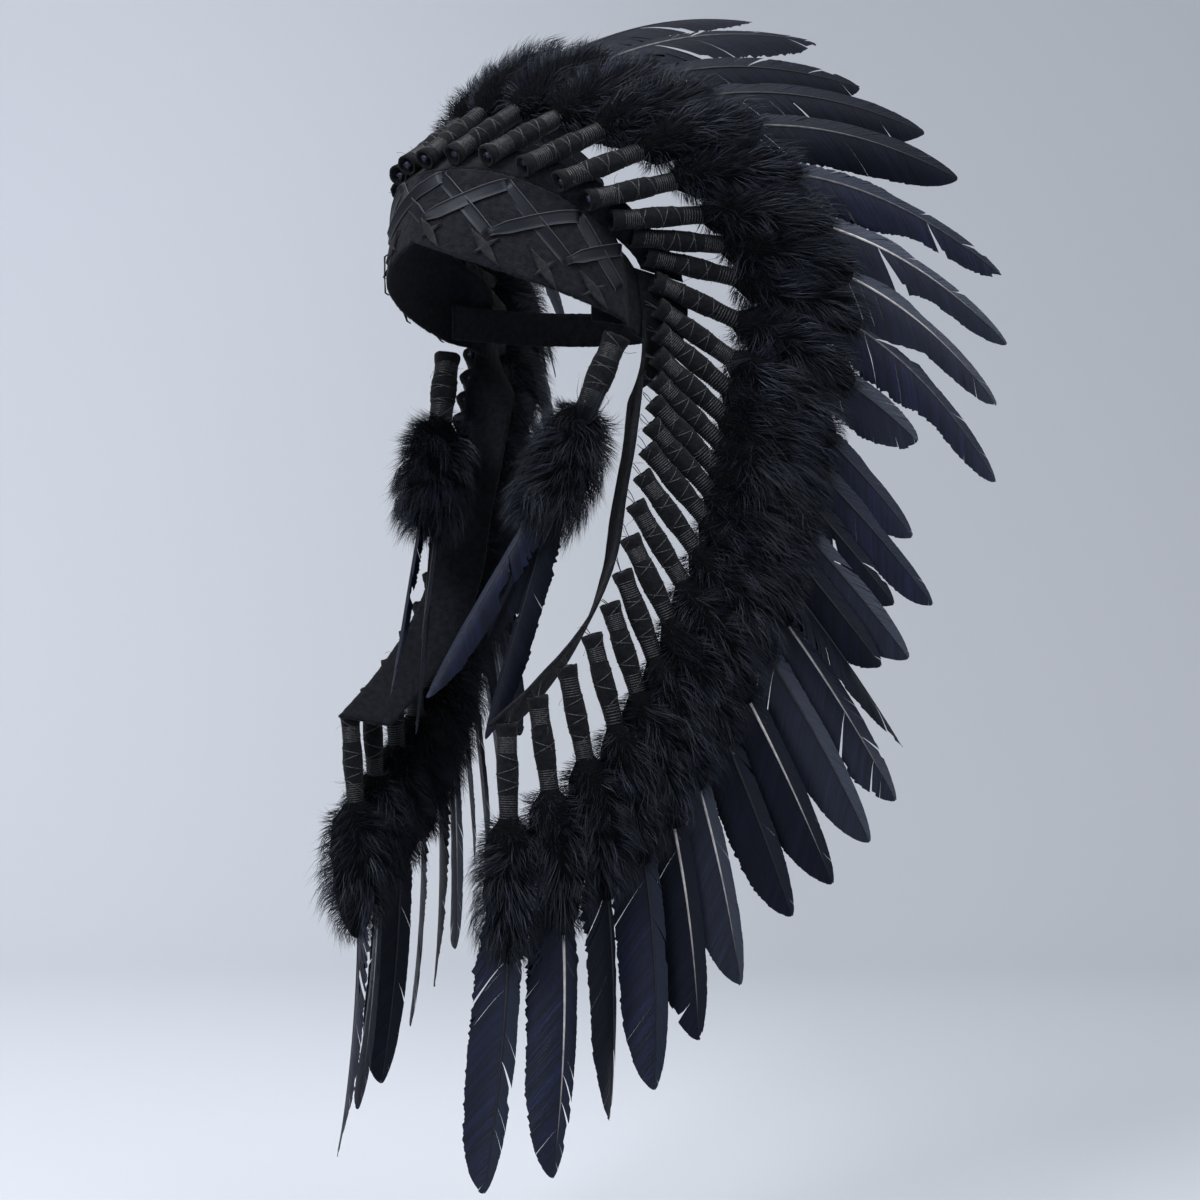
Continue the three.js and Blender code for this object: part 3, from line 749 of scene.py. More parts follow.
def tuft(soup, spine, rng, profile, hairs, across, out, under):
    """Fur round a shaft: a dark core, and hair that stands on it in clumps and sweeps towards the tip."""
    at, full = np.array(profile).T

    def surface(along, theta, share):
        size = share * np.interp(along, at, full)
        deep = np.where(np.sin(theta) < 0, under, out)
        return spine.at(along, across * size * np.cos(theta), deep * size * np.sin(theta))

    def scattered(number):
        along = rng.uniform(at[0], at[-1], number * 3)
        kept = np.flatnonzero(rng.uniform(0, 1, len(along)) < np.interp(along, at, full))[:number]
        return along[kept], rng.uniform(0, 2 * math.pi, len(kept))

    tuft_core(soup, spine, rng, surface, at[0] + 1, at[-1] - 4)
    along, theta = scattered(hairs)
    clump_along, clump_theta = scattered(hairs // HAIRS_A_CLUMP)
    roots = surface(along, theta, ROOT_SHARE)
    clump_roots = surface(clump_along, clump_theta, CORE_SHARE)
    which = np.argmin(np.sum((roots[:, None] - clump_roots[None]) ** 2, -1), axis=1)
    normal = unit(roots - spine.at(along))
    heading = spine.heading_at(along)
    lean = np.interp(along, [at[0], at[0] + LIE["spread"], at[-1]], LIE["lean"])[:, None]
    swirl = rng.normal(size=(len(clump_along), 3)) * LIE["swirl"]
    way = unit(normal + heading * lean + swirl[which] + rng.normal(size=roots.shape) * LIE["stray"])
    size = np.interp(along, at, full) * (across + out) / 2
    upright = np.clip(np.sum(way * normal, -1), LIE["steepest"], 1)
    clump_reach = rng.uniform(*LIE["clump_reach"], len(clump_along))
    length = size * (1 - ROOT_SHARE) / upright * clump_reach[which] * rng.uniform(*LIE["reach"], len(along))
    guard = rng.uniform(0, 1, len(along)) < GUARD["share"]
    length = np.minimum(length * np.where(guard, GUARD["reach"], 1.0), LONGEST_HAIR)
    tips = roots + way * length[:, None] - UP * LIE["sag"]
    middle = np.zeros_like(clump_roots)
    np.add.at(middle, which, tips)
    middle /= np.maximum(np.bincount(which, minlength=len(middle)), 1)[:, None]
    tips += (middle[which] - tips) * rng.uniform(*LIE["gather"], len(along))[:, None]
    mids = roots + unit(normal * 0.75 + way * 0.6) * (length * 0.52)[:, None]
    clump_tone = rng.uniform(0, 1, len(clump_along)) ** 1.6
    tone = np.clip(clump_tone[which] + rng.normal(size=len(along)) * 0.22, 0, 1)
    width = np.where(guard, GUARD["width"], rng.uniform(*LIE["width"], len(along)))
    strands(soup, roots, mids, tips, width, HAIR, tone, rng)


# ---- one thread-wound quill ----

# along as a share of the tube, radius as a share of its own
QUILL_PROFILE = (
    (0.0, 1.10), (0.04, 1.09), (0.10, 0.99), (0.15, 0.93), (0.28, 0.92), (0.36, 1.03),
    (0.52, 1.07), (0.66, 1.02), (0.74, 0.91), (0.92, 0.88), (1.0, 0.95), (1.06, 0.80),
)
TUBE_FLOOR = 7.0  # mm inside the tube's open foot
THREAD_WIDTH = {"winding": 0.72, "tie": 0.55, "loose": 0.3, "ribbon": 0.22}
QUILL_FIBRES = 46
# The thread winds from low to high and from near to far, in shares of the tube, with so many turns on
# each of the two, and crosses over in between.
WINDS = {
    "low": (0.10, 0.14), "high": (0.27, 0.33), "near": (0.71, 0.76), "far": (0.94, 0.99),
    "turns": (8, 11), "cross": (1.2, 2.3),
}


def shaft_stub(soup, spine, rng, radius):
    """The cut end of the feather's shaft, inside the tube's open foot."""
    sides = 8
    along = np.array([rng.uniform(-0.6, 1.6), TUBE_FLOOR - 0.1])
    aside, off = rng.normal(size=2) * 0.9
    size = radius * rng.uniform(0.2, 0.52, (2, sides))
    along = along[:, None] + rng.normal(size=(2, sides)) * 0.5
    angle = around(sides)
    sleeve = spine.at(along, aside + size * np.cos(angle), off + size * np.sin(angle))
    end = spine.at(along[0, :1] + 0.4, aside, off)
    faces = [grid_faces(2, sides, closed=True), fan_faces(np.arange(sides), 2 * sides, turned=True)]
    soup.add(np.concatenate([sleeve.reshape(-1, 3), end]), faces, STUB)


def wound_tube(soup, spine, rng, length, radius):
    """A rolled felt tube, open at its foot, wound with thread near both ends and crossed in between."""
    shares, sizes = np.array(QUILL_PROFILE).T
    start = rng.uniform(0, 2 * math.pi)
    seed = int(rng.integers(1 << 30))

    def surface(along, angle, lift=0.0):
        roll = ((angle - start) / (2 * math.pi)) % 1.0
        size = radius * np.interp(along / length, shares, sizes) * (0.97 + 0.07 * roll)
        place = np.stack([along, radius * np.cos(angle), radius * np.sin(angle)], -1)
        size = size + 0.28 * wavy(place, 9, seed) + lift
        return spine.at(along, size * np.cos(angle), size * np.sin(angle))

    sides = 18
    angle = start + (np.arange(sides) + 0.02) * 2 * math.pi / sides  # the rolled felt's edge is a step
    levels = [
        surface(np.full(sides, TUBE_FLOOR), angle, -radius * 0.32),
        surface(np.full(sides, 0.3), angle, -radius * 0.24),
    ]
    ragged = 0.5 * rng.normal(size=sides)
    for along in np.linspace(0, length * 1.06, 22):
        levels.append(surface(np.full(sides, along) + ragged, angle))
        ragged = 0.0
    floor = spine.at(np.array([TUBE_FLOOR]))
    points = np.concatenate([np.array(levels).reshape(-1, 3), floor])
    floor_faces = fan_faces(np.arange(sides), len(points) - 1, turned=True)
    soup.add(points, [grid_faces(len(levels), sides, closed=True), floor_faces], TUBE)
    shaft_stub(soup, spine, rng, radius)

    def wind(route):
        """route: (along share, turns) pairs that the thread passes, in order."""
        marks = np.array(route)
        travel = np.concatenate([[0], np.cumsum(np.abs(np.diff(marks[:, 1])))])
        t = np.linspace(0, travel[-1], int(travel[-1] * 12) + 2)
        along = np.interp(t, travel, marks[:, 0]) * length
        along = along + 0.22 * wavy(np.stack([t, t, 0 * t], -1), 2.2, seed)
        turn = np.interp(t, travel, marks[:, 1]) * 2 * math.pi + start
        path = surface(along, turn, 0.12)
        thread(soup, path, unit(path - spine.at(along)), THREAD_WIDTH["winding"], WINDING)

    low, high, near, far = (rng.uniform(*WINDS[name]) for name in ("low", "high", "near", "far"))
    turns, more = rng.integers(*WINDS["turns"]), rng.integers(*WINDS["turns"])
    cross = rng.uniform(*WINDS["cross"])
    wind([(low, 0), (high, turns), (near, turns + cross), (far, turns + cross + more)])
    wind([(far, 0.4), (near - 0.02, 0.9), (high + 0.02, 0.9 + cross * 1.1), (0.03, 1.6 + cross * 1.1)])
    for _ in range(3):
        along = np.array([rng.choice([low, high, near, far]) * length])
        here = surface(along, rng.uniform(0, 2 * math.pi, 1))[0]
        away = here - spine.at(along)[0] + rng.normal(size=3) * 2
        loose_end(soup, here, away, rng, rng.uniform(4, 11), THREAD_WIDTH["loose"], WINDING)
    along, turn = rng.uniform(0, length, QUILL_FIBRES), rng.uniform(0, 2 * math.pi, QUILL_FIBRES)
    roots = surface(along, turn)
    fibres(soup, roots, unit(roots - spine.at(along)), 2.6, 0.16, WINDING, rng)


# ---- plumes ----

TUFT_START = 107  # mm along a plume, inside its tuft, where the feather's vanes begin
SPINE_STEPS = 60
HALF_WIDTH = 17.5
FUR = {"hairs": 3500, "across": 28, "out": 33, "under": 23}
LOW_TUFTS = ((2, 7), (0.78, 1))  # over the crown the tufts stand less high, up to plume 7
# Each plume's feather, alike on both sides. reach: a further share of its length. aside: mm that its tip
# leans towards the next plume. roll: degrees that its face turns, at the fur and at the tip. shaft and
# vane: its colours; the vane's look also paints it in shade (ink) and lit (slate). ragged: how torn its edges
# are.
FEATHER_COLUMNS = ("plume", "reach", "aside", "roll_start", "roll_tip", "shaft", "vane", "ragged")
FEATHER_ROWS = (
    (0, 1.0, 0, -4, -10, "dark", "ink", 1.4),
    (1, 1.0, 0, -10, -16, "grey", "ink", 1.5),
    (2, 1.0, 0, -22, -30, "dark", "ink", 0.8),
    (3, 1.0, 0, -12, -20, "dark", "ink", 0.6),
    (4, 1.0, 0, -14, -22, "grey", "ink", 0.6),
    (5, 1.02, 6, -14, -20, "grey", "navy", 1.5),
    (6, 1.0, 0, -14, -20, "pale", "slate", 1.1),
    (7, 1.0, 0, -12, -18, "pale", "slate", 1.1),
    (8, 1.0, 0, -12, -18, "grey", "navy", 1.5),
    (9, 0.99, -6, -24, -30, "dark", "slate", 1.4),
    (10, 1.0, 8, -16, -10, "dark", "navy", 0.6),
    (11, 1.0, 4, -20, -16, "dark", "navy", 0.7),
    (12, 1.0, 6, -14, -10, "dark", "ink", 0.8),
    (13, 1.0, 2, -18, -22, "dark", "slate", 0.6),
    (14, 1.0, 0, -16, -8, "dark", "ink", 1.0),
    (15, 1.02, 0, 42, 58, "dark", "ink", 0.7),
    (16, 1.0, 0, -14, -8, "pale", "slate", 0.6),
    (17, 1.0, 0, -14, -18, "dark", "slate", 0.4),
    (18, 1.0, 0, -10, -6, "pale", "ink", 0.8),
    (19, 1.0, -6, -6, -12, "dark", "ink", 1.2),
    (20, 1.0, 0, 0, 10, "pale", "slate", 0.8),
    (21, 1.0, 0, -10, -4, "pale", "ink", 0.8),
    (22, 1.0, 0, -4, 10, "dark", "navy", 0.7),
    (23, 1.0, 0, 64, 78, "dark", "ink", 0.5),
    (24, 1.0, 0, 20, 38, "pale", "navy", 1.0),
    (25, 1.0, 0, 6, 14, "dark", "navy", 1.2),
)
FEATHERS = {row[0]: dict(zip(FEATHER_COLUMNS, row)) for row in FEATHER_ROWS}


def plume_spine(n, row):
    """The line of one plume's axis, with its feather's own lean."""
    length = plume_length(n) * row["reach"]
    along = np.linspace(0, length, SPINE_STEPS)
    place, heading, out = on_fan(n, along)
    beside, _, _ = on_fan(n + 0.25 * (1 if n >= 0 else -1), along)
    toward = square_to(unit(beside - place), heading)
    bend = np.clip((along - QUILL["length"]) / (length - QUILL["length"]), 0, 1) ** 1.6
    centre = place + out * QUILL["axis"] + toward * (row["aside"] * bend)[:, None]
    return Spine(centre, out, length, aside=toward[0])


def node_name(n):
    side = "left" if n > 0 else "right"
    return "plume_middle" if n == 0 else f"plume_{side}_{abs(n):02d}"


def finish_piece(soup, looks, slot, *nodes):
    """The piece on the root body, in place of the nodes that it stands for. slot is not used."""
    piece = soup.make(looks)
    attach(piece, "root")
    if nodes:
        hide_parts(*nodes)
    return piece


def make_plume(n):
    rng = np.random.default_rng(SEED + 100 + n)
    row = FEATHERS[abs(n)]
    twist = np.array([row["roll_start"], row["roll_tip"]], float)
    if n < 0:
        twist += rng.normal(size=2) * [3, 4]
    node = node_name(n)
    end = node.removeprefix("plume_")
    spine = plume_spine(n, row)

    quill = Soup(f"quill_{end}")
    wound_tube(quill, spine, rng, QUILL["length"], QUILL["radius"])
    finish_piece(quill, QUILL_LOOKS, "plume", node)

    fur = Soup(f"fur_{end}")
    crown = float(np.interp(abs(n), *LOW_TUFTS))
    tuft(fur, spine, rng, PLUME_TUFT, **{**FUR, "out": FUR["out"] * crown})
    finish_piece(fur, FUR_LOOKS, "plume", node)

    blade = Soup(f"feather_{end}")
    notch = ODD.get(abs(n), REGULAR)[1]
    feather(blade, spine, TUFT_START, rng, HALF_WIDTH, twist, row["ragged"], notch)
    finish_piece(blade, [VANE_LOOKS[row["vane"]], SHAFT_LOOKS[row["shaft"]]], "plume", node)


# ---- felt: strips, browband and back strap ----


def felt_wall(soup, middle, thickness, rng, seed, waviness, edge=0.5, fluff=0.5):
    """A felt wall round a grid of middle points, with rough cut edges and stray fibres along them."""
    rows, columns = middle.shape[:2]
    middle = middle.copy()
    u = np.gradient(middle, axis=0)
    w = np.gradient(middle, axis=1)
    normal = unit(np.cross(u, w))
    waves = waviness * wavy(middle, 38, seed) + 0.4 * waviness * wavy(middle, 13, seed + 1)
    middle += normal * waves[..., None]
    middle[:, 0] -= unit(w[:, 0]) * (edge * wavy(middle[:, 0], 5, seed + 2))[:, None]
    middle[:, -1] += unit(w[:, -1]) * (edge * wavy(middle[:, -1], 5, seed + 3))[:, None]
    rim = np.ones((rows, columns))
    rim[1:-1, 1:-1] = 0
    half = thickness / 2 * (1 - 0.25 * rim)[..., None]
    top = middle + normal * half
    add_wall(soup, top, middle - normal * half)
    edge_points = border(middle)
    following = np.roll(edge_points, -1, 0)
    outward = np.concatenate([-u[0, :-1], w[:-1, -1], u[-1, :0:-1], -w[:0:-1, 0]])
    length = np.linalg.norm(following - edge_points, axis=1)
    pick = rng.choice(len(length), int(length.sum() * fluff), p=length / length.sum())
    share = rng.uniform(0, 1, len(pick))[:, None]
    roots = edge_points[pick] * (1 - share) + following[pick] * share
    fibres(soup, roots, unit(outward[pick]), 2.4, 0.13, 0, rng)
    stray = int(rows * columns * 0.12)
    spot = rng.integers(0, rows - 1, stray), rng.integers(0, columns - 1, stray)
    fibres(soup, top[spot], normal[spot], 1.5, 0.11, 0, rng)


def make_felt(name, node, middle, thickness, rng, seed, held, *rests_on, **finish):
    """A felt piece from the grid of its middle points."""
    soup = Soup(name)
    felt_wall(soup, middle, thickness, rng, seed, **finish)
    piece = finish_piece(soup, [FELT_LOOK], "felt", node)


def strip_middle(v, front, back, columns):
    """Middle points of a flat strip between two edges, each given as (along, out) arrays over v."""
    a, b = np.stack(front, -1), np.stack(back, -1)
    slant = unit(b - a)
    offset = np.stack([slant[:, 1], -slant[:, 0]], -1) * FELT / 2
    share = np.linspace(0, 1, columns)[None, :, None]
    cut = a[:, None] * (1 - share) + b[:, None] * share + offset[:, None]
    return fan_point(v[:, None], cut[..., 0], cut[..., 1])


def make_crown_strip():
    rng = np.random.default_rng(SEED + 1)
    end = CROWN_PLUMES + 0.35
    v = np.linspace(-end, end, 150)
    front = (STRIP["front"] + 0 * v, -CLEARANCE + 0 * v)
    back = (STRIP["front"] + STRIP["width"] + 0 * v, -CLEARANCE + 0 * v)
    middle = strip_middle(v, front, back, 12)
    names = ("crown_strip_felt", "crown_strip")
    make_felt(*names, middle, FELT, rng, 11, "stretched", "browband", waviness=0.15)


def trailer_edges(v):
    """Front and back edges of the trailer's strip at v, each as (along, out)."""
    turned = smooth(TRAILER["flat"], TRAILER["turned"], np.abs(v))
    lean = turned * math.radians(TRAILER["lean"])
    front = (TRAILER["front"] + 0 * v, -CLEARANCE + turned * TRAILER["out"])
    back = (front[0] + TRAILER["width"] * np.cos(lean), front[1] - TRAILER["width"] * np.sin(lean))
    return front, back


def make_trailer_strip(side):
    name = "left" if side > 0 else "right"
    rng = np.random.default_rng(SEED + 2 + side)
    v = side * np.linspace(CROWN_PLUMES + 0.4, LAST_PLUME + 0.7, 190)
    middle = strip_middle(v, *trailer_edges(v), 14)
    names = (f"trailer_strip_felt_{name}", f"trailer_strip_{name}")
    make_felt(*names, middle, FELT, rng, 21 + side, "hung", "browband", waviness=0.3, fluff=0.8)


def ellipse(a, b, degrees, z):
    angle = np.radians(degrees)
    return np.stack([a * np.sin(angle), -b * np.cos(angle), z + 0 * angle], -1)


def fan_place_at(degrees):
    """The v whose foot stands at this angle round the head."""
    v = np.linspace(0, CROWN_PLUMES + 2, 400)
    x, y = column("foot_x", v) / BROW["high_a"], -column("foot_y", v) / BROW["high_b"]
    return np.sign(degrees) * np.interp(np.abs(degrees), np.degrees(np.arctan2(x, y)), v)


def on_brow(degrees, height, out):
    """Points of the browband: height 0 is its lower edge and 1 its upper one, out stands off its face."""
    degrees, height, out = np.broadcast_arrays(*[np.asarray(x, float) for x in (degrees, height, out)])
    low_z = BROW["front_z"] - BROW["fall"] * np.abs(degrees)
    low = ellipse(BROW["low_a"], BROW["low_b"], degrees, low_z)
    away = unit(low * [1, 1, 0])
    out = out - TUCK["depth"] * smooth(TUCK["from"], TUCK["to"], np.abs(degrees))
    high = fan_point(fan_place_at(degrees), STRIP["front"] - CLEARANCE + 0 * out, out - CLEARANCE)
    low = low + away * out[..., None]
    share = height[..., None]
    return low * (1 - share) + high * share + away * BROW["bulge"] * 4 * share * (1 - share)


def make_browband():
    rng = np.random.default_rng(SEED + 5)
    degrees = np.linspace(-BROW["end"], BROW["end"], 160)[:, None]
    middle = on_brow(degrees, np.linspace(0, 1, 30)[None], -FELT / 2)
    names = ("browband_felt", "browband")
    make_felt(*names, middle, FELT, rng, 31, "stretched", waviness=0.45, edge=0.7, fluff=1.4)


def make_back_strap():
    rng = np.random.default_rng(SEED + 6)
    strap = BACK_STRAP
    degrees = np.linspace(strap["start"], 360 - strap["start"], 120)
    inset = strap["thickness"] / 2
    levels = np.linspace(strap["low"], strap["high"], 12)
    middle = np.stack([ellipse(strap["a"] - inset, strap["b"] - inset, degrees, z) for z in levels], 1)
    names = ("back_strap_felt", "back_strap")
    make_felt(*names, middle, strap["thickness"], rng, 41, "stretched", "browband", waviness=0.15)


# ---- ribbon lacing and stitches on the browband ----


def brow_run(start, end, shares, out):
    """(place, side, face) along a run over the band between two (degrees, height) places."""

    def centre(share):
        degrees = start[0] + (end[0] - start[0]) * share
        height = start[1] + (end[1] - start[1]) * share
        return on_brow(degrees, height, out)

    place = centre(shares)
    heading = unit(centre(shares + 0.01) - place)
    away = unit(place * [1, 1, 0.0])
    side = unit(np.cross(heading, away))
    face = unit(np.cross(side, heading))
    face = face * np.sign(np.sum(face * away, axis=-1, keepdims=True))
    return place[:, None], side[:, None], face[:, None]


def stitch(soup, start, end, width, rng, lift, dive):
    """A pointed felt stitch between two (degrees, height) places, which dives at both ends."""
    t = np.linspace(0, 1, 18)
    u = np.linspace(-1, 1, 7)
    near = np.minimum(t, 1 - t)
    open_share = (0.06 + 0.94 * smooth(-0.06, 0.46, near))[:, None]
    sink = dive * (1 - smooth(0.0, 0.05, near)) - lift
    place, side, face = brow_run(start, end, t, 0.9)
    across = u[None] * open_share * width / 2
    crease = wavy(np.stack([t[:, None] * 40 + 0 * u, across, 0 * across], -1), 14, int(rng.integers(999)))
    height = 0.6 * (1 - u[None] ** 2) * (1.6 - open_share) + 0.25 * crease - sink[:, None]
    top = place + side * across[..., None] + face * height[..., None]
    add_wall(soup, top, top - face * 0.45)


# Across the ribbon, from edge to edge: its bound edges stand up as a rim.
RIBBON_ACROSS = (-1, -0.93, -0.84, -0.5, 0, 0.5, 0.84, 0.93, 1)
RIBBON_RIM = (0.28, 0.42, 0.12, 0.05, 0, 0.05, 0.12, 0.42, 0.28)


def satin_ribbon(soup, start, end, rng, lift, rolled):
    """A flat ribbon between two holes, with a bound edge on each side. rolled: its start is gathered."""
    t = np.linspace(-0.03, 1.03, 34)
    u, rim = np.array(RIBBON_ACROSS)[None], np.array(RIBBON_RIM)[None]
    place, side, face = brow_run(start, end, t, 1.0)
    gather = 1 - (0.42 if rolled else 0.06) * (1 - smooth(0.03, 0.24, t))
    gather = gather * (1 - 0.06 * smooth(0.8, 1.0, t))
    sink = 2.6 * (1 - smooth(-0.03, 0.035, t)) + 2.6 * smooth(0.965, 1.03, t)
    waver = 1 + 0.03 * wavy(np.stack([t * 60, 0 * t, 0 * t], -1), 20, int(rng.integers(999)))
    across = u * gather[:, None] * RIBBON_WIDTH / 2 * waver[:, None]
    puff = (1.6 * (1 - gather))[:, None] * (1 - u**2)
    run = t[:, None] * 45 + 0 * u
    ripple = 0.16 * wavy(np.stack([run, 2 * across, 0 * across], -1), 15, int(rng.integers(999)))
    height = lift - sink[:, None] + rim + puff + ripple
    flat = place + side * across[..., None]
    top = flat + face * height[..., None]
    # Tag 1 is the share across the ribbon; the material paints a highlight where it nears the edges.
    tags = np.stack([t[:, None] + 0 * across, np.abs(u) + 0 * across, 0 * across], -1)
    add_wall(soup, top, flat + face * (height - 0.42 - rim)[..., None], tags)
    for _ in range(2):
        here, away = top[0, rng.integers(1, 8)], face[0, 0] * 2 + rng.normal(size=3)
        loose_end(soup, here, away, rng, rng.uniform(2, 5), THREAD_WIDTH["ribbon"], 0)


def make_lacing():
    rng = np.random.default_rng(SEED + 8)
    soup = Soup("ribbon_lacing_satin")

    def hole(row, k):
        end = HOLES[f"{row}_end"]
        return max(-end, min(end, HOLES[f"{row}_at"] + HOLES["pitch"] * k)), HOLES[f"{row}_height"]

    for k in range(-3, 3):
        satin_ribbon(soup, hole("top", k), hole("low", k + 1), rng, lift=0.3, rolled=rng.random() < 0.3)
        satin_ribbon(soup, hole("low", k), hole("top", k + 1), rng, lift=1.5, rolled=rng.random() < 0.6)
    finish_piece(soup, [RIBBON_LOOK], "ribbon", "ribbon_lacing")


# Crossed felt stitches by the lower edge. at: degrees. height: share of the band's height at the middle.
STITCHES = (
    (-82, 0.14), (-62, 0.14), (-40, 0.15), (-16, 0.16), (10, 0.20), (34, 0.19), (56, 0.16), (75, 0.15),
)


def make_stitches():
    rng = np.random.default_rng(SEED + 9)
    soup = Soup("cross_stitches")
    for at, height in STITCHES:
        long, tall = 5.4 + rng.normal() * 0.4, 0.15 + rng.normal() * 0.01
        side = 1 if at >= 0 else -1
        upper, lower = (at - side * long, height + tall), (at + side * long, height - tall)
        stitch(soup, upper, lower, 6.4, rng, lift=1.8, dive=2.2)
        near, far = (at - side * 0.85 * long, height - 0.10), (at + side * 0.95 * long, height + 0.13)
        stitch(soup, near, far, 3.6, rng, lift=1.2, dive=1.8)
    finish_piece(soup, [STITCH_LOOK], "felt")


# ---- threads that tie the quills to the strips ----


def make_ties():
    rng = np.random.default_rng(SEED + 10)
    soup = Soup("tie_threads")
    for side in (-1, 1):
        for n in range(CROWN_PLUMES + 2, LAST_PLUME + 1):
            for _ in range(2):
                v = np.array([side * (n + rng.uniform(-0.25, 0.25))])
                front, _ = trailer_edges(v)
                start = fan_point(v, front[0] + 1.0, front[1] - 1.0)[0]
                stop = fan_point(np.array([side * n]), np.array([rng.uniform(1, 4)]), np.array([6.0]))[0]
                t = np.linspace(0, 1, 6)[:, None]
                path = start * (1 - t) + stop * t + np.sin(math.pi * t) * rng.normal(size=3) * 0.6
                thread(soup, path, any_side(path, rng), THREAD_WIDTH["tie"], 0, height=0.9)
        for n in range(CROWN_PLUMES + 1, LAST_PLUME + 1):
            v = np.array([side * (n + rng.uniform(-0.5, 0.5))])
            front, _ = trailer_edges(v)
            start, away = fan_point(v, *front)[0], rng.normal(size=3)
            loose_end(soup, start, away, rng, rng.uniform(4, 10), THREAD_WIDTH["loose"], 0)
    finish_piece(soup, [THREAD_LOOK], "felt")


# ---- ear drops ----

DROP = {"top": (88, -6, -9), "way": (-0.22, -0.32, -0.92), "facing": (0.85, -0.53), "radius": 9, "tube": 56}
DROP_LENGTH = 330
DROP_FUR = {"hairs": 7200, "across": 33, "out": 33, "under": 32}
# The feathers start inside the fur. lean: degrees, to one side or the other. end: mm from the drop's top.
DROP_START = 92
DROP_HALF_WIDTH = 7.5
DROP_FEATHERS = (
    {"lean": 2, "end": 225, "curl": -6, "layer": -5, "tip_roll": 52, "vane": "ink"},
    {"lean": 7, "end": 290, "curl": -1, "layer": 0, "tip_roll": 46, "vane": "ink"},
    {"lean": -9, "end": 280, "curl": 4, "layer": 5, "tip_roll": 40, "vane": "navy"},
)


def make_ear_drop(side):
    rng = np.random.default_rng(SEED + 20 + side)
    name = "left" if side > 0 else "right"
    node = f"ear_drop_{name}"
    top = np.array(DROP["top"], float) * [side, 1, 1]
    way = unit(np.array(DROP["way"]) * [side, 1, 1])
    out = square_to(np.array([side * DROP["facing"][0], DROP["facing"][1], 0.0]), way)
    across = np.cross(out, way) * side

    def line(start, end, lean=0.0, curl=0.0, layer=0.0):
        """A spine from start to end, in mm from the drop's top. curl: mm that its tip bends aside."""
        along = np.linspace(0, end - start, 40)
        angle = math.radians(lean)
        heading = way * math.cos(angle) + across * math.sin(angle)
        base = top + way * start + out * layer
        bend = (curl * (along / (end - start)) ** 2)[:, None]
        places = base + heading * along[:, None] + across * bend
        return Spine(places, np.broadcast_to(out, places.shape), end - start, across)

    tube = Soup(f"drop_quill_{name}")
    wound_tube(tube, line(0, DROP_LENGTH), rng, DROP["tube"], DROP["radius"])
    finish_piece(tube, QUILL_LOOKS, "plume", node)

    fur = Soup(f"drop_fur_{name}")
    tuft(fur, line(0, DROP_LENGTH), rng, DROP_TUFT, **DROP_FUR)
    finish_piece(fur, FUR_LOOKS, "plume", node)

    for number, row in enumerate(DROP_FEATHERS, 1):
        blade = Soup(f"drop_feather_{name}_{number}")
        spine = line(DROP_START, row["end"], row["lean"], row["curl"], row["layer"])
        feather(blade, spine, 12, rng, DROP_HALF_WIDTH, (40, row["tip_roll"]), 1.1)
        finish_piece(blade, [VANE_LOOKS[row["vane"]], SHAFT_LOOKS["dark"]], "plume", node)


# ---- stage, light and camera ----

CAMERA = {"azimuth": 45, "target": (0.0328, 0.0328, -0.1893), "distance": 1.55, "lens": 65.1}
FLOOR_DROP = 0.16  # metres from the lowest feather to the floor
# Metres. near: the floor's front edge, behind the camera. flat: from the object to where the rise starts.
STAGE = {"near": -4.0, "flat": 1.7, "radius": 1.4, "wall": 3.2, "half_width": 9}
# Soft boxes. azimuth and height: where each stands as seen from the object; 45 is the camera's side.
LIGHTS = (
    {"name": "key", "azimuth": 8, "height": 38, "distance": 2.6, "size": 1.3, "watts": 78},
    {"name": "fill", "azimuth": 98, "height": 40, "distance": 2.8, "size": 1.8, "watts": 48},
    {"name": "top", "azimuth": 60, "height": 80, "distance": 2.2, "size": 1.4, "watts": 46},
)
SKY = {"Color": (0.91, 0.955, 1.0, 1), "Strength": 0.25}


def toward(azimuth, height=0.0):
    """The way from the object to something at this azimuth and height, in degrees."""
    a, e = math.radians(azimuth), math.radians(height)
    return np.array([math.sin(a) * math.cos(e), -math.cos(a) * math.cos(e), math.sin(e)])


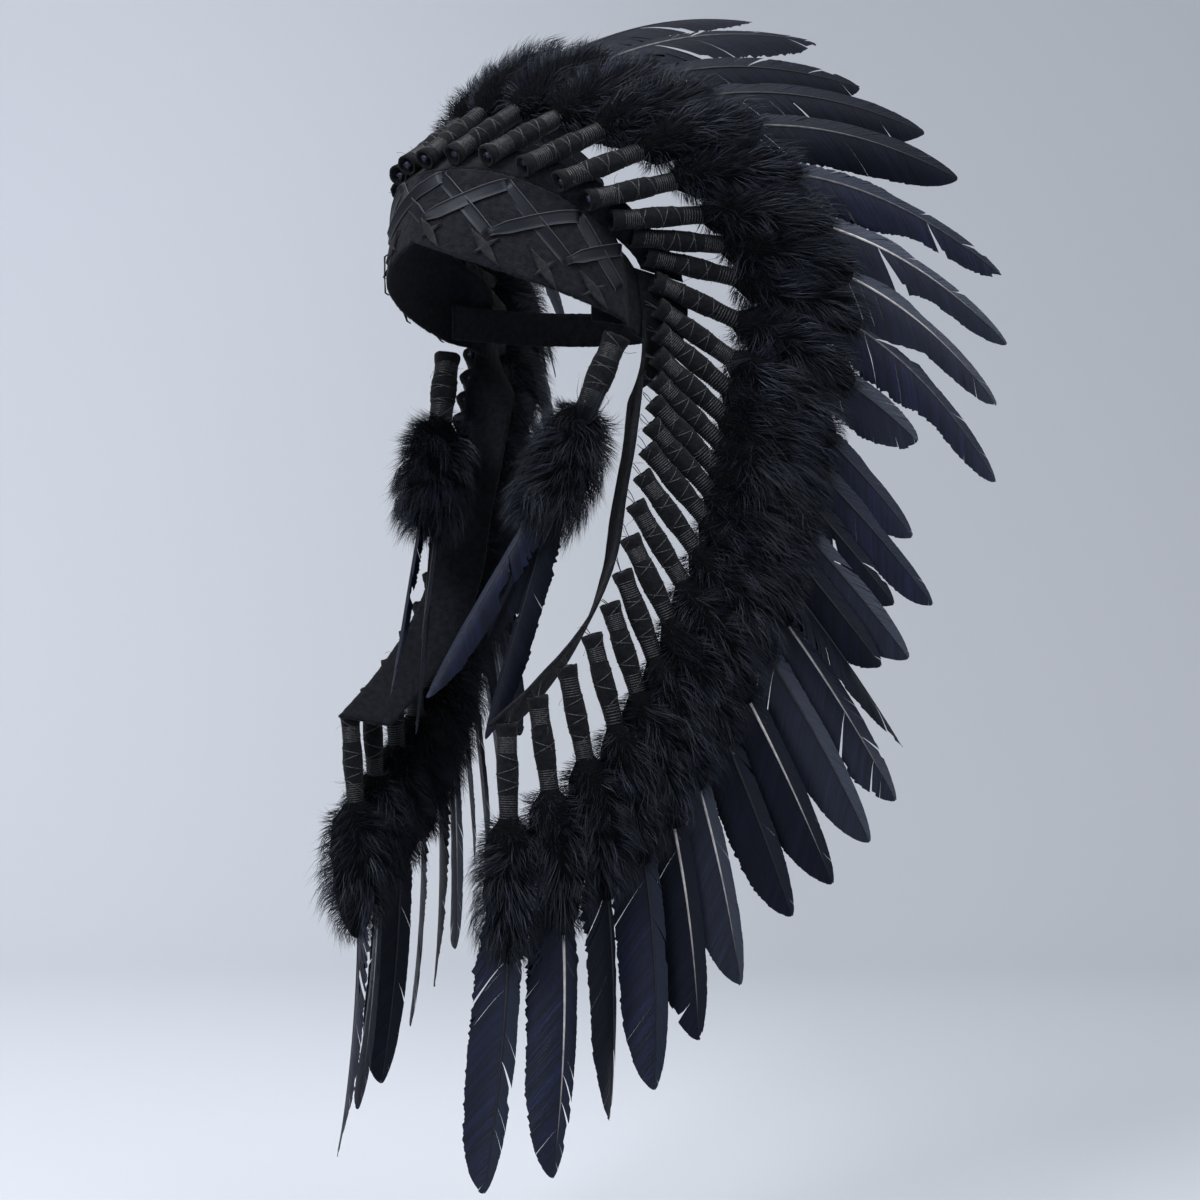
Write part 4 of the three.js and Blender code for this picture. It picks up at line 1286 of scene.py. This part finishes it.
def make_stage():
    """A pale floor that runs back from the camera and rises in a wide curve to a backdrop."""
    low = cad_box[0][2] - FLOOR_DROP
    away, side = -toward(CAMERA["azimuth"]), toward(CAMERA["azimuth"] + 90)
    flat, radius = STAGE["flat"], STAGE["radius"]
    profile = [(STAGE["near"], 0.0), (flat / 2, 0.0)]
    for a in np.linspace(0, math.pi / 2, 24):
        profile.append((flat + radius * math.sin(a), radius * (1 - math.cos(a))))
    profile.append((flat + radius, radius + STAGE["wall"]))
    across = np.linspace(-STAGE["half_width"], STAGE["half_width"], 3)
    points = [[away * far + side * x + UP * (low + up) for x in across] for far, up in profile]
    soup = Soup("backdrop")
    soup.add(np.array(points) / MM, grid_faces(len(profile), 3))
    soup.make([backdrop_material()])


def add_to_scene(name, data, place, way):
    """A lamp or a camera at a place, turned to look this way."""
    made = bpy.data.objects.new(name, data)
    made.location = place
    made.rotation_mode = "QUATERNION"
    made.rotation_quaternion = Vector(way).to_track_quat("-Z", "Y")
    bpy.context.scene.collection.objects.link(made)
    return made


def make_lights():
    centre = (np.array(cad_box[0]) + np.array(cad_box[1])) / 2
    for row in LIGHTS:
        way = toward(row["azimuth"], row["height"])
        data = bpy.data.lights.new(row["name"], "AREA")
        data.size, data.energy = row["size"], row["watts"]
        add_to_scene(row["name"], data, centre + way * row["distance"], -way)
    world = bpy.data.worlds.new("studio")
    world.use_nodes = True
    for key, value in SKY.items():
        world.node_tree.nodes["Background"].inputs[key].default_value = value
    bpy.context.scene.world = world


def make_camera():
    back = toward(CAMERA["azimuth"])
    data = bpy.data.cameras.new("camera")
    data.lens, data.sensor_width = CAMERA["lens"], 36
    place = np.array(CAMERA["target"]) + back * CAMERA["distance"]
    bpy.context.scene.camera = add_to_scene("camera", data, place, -back)


# ---- the scene ----

make_camera()
make_stage()
make_lights()
make_browband()
make_crown_strip()
make_trailer_strip(1)
make_trailer_strip(-1)
make_back_strap()
make_lacing()
make_stitches()
make_ties()
make_ear_drop(1)
make_ear_drop(-1)
for number in range(-LAST_PLUME, LAST_PLUME + 1):
    make_plume(number)
bpy.context.scene.view_settings.view_transform = "Standard"
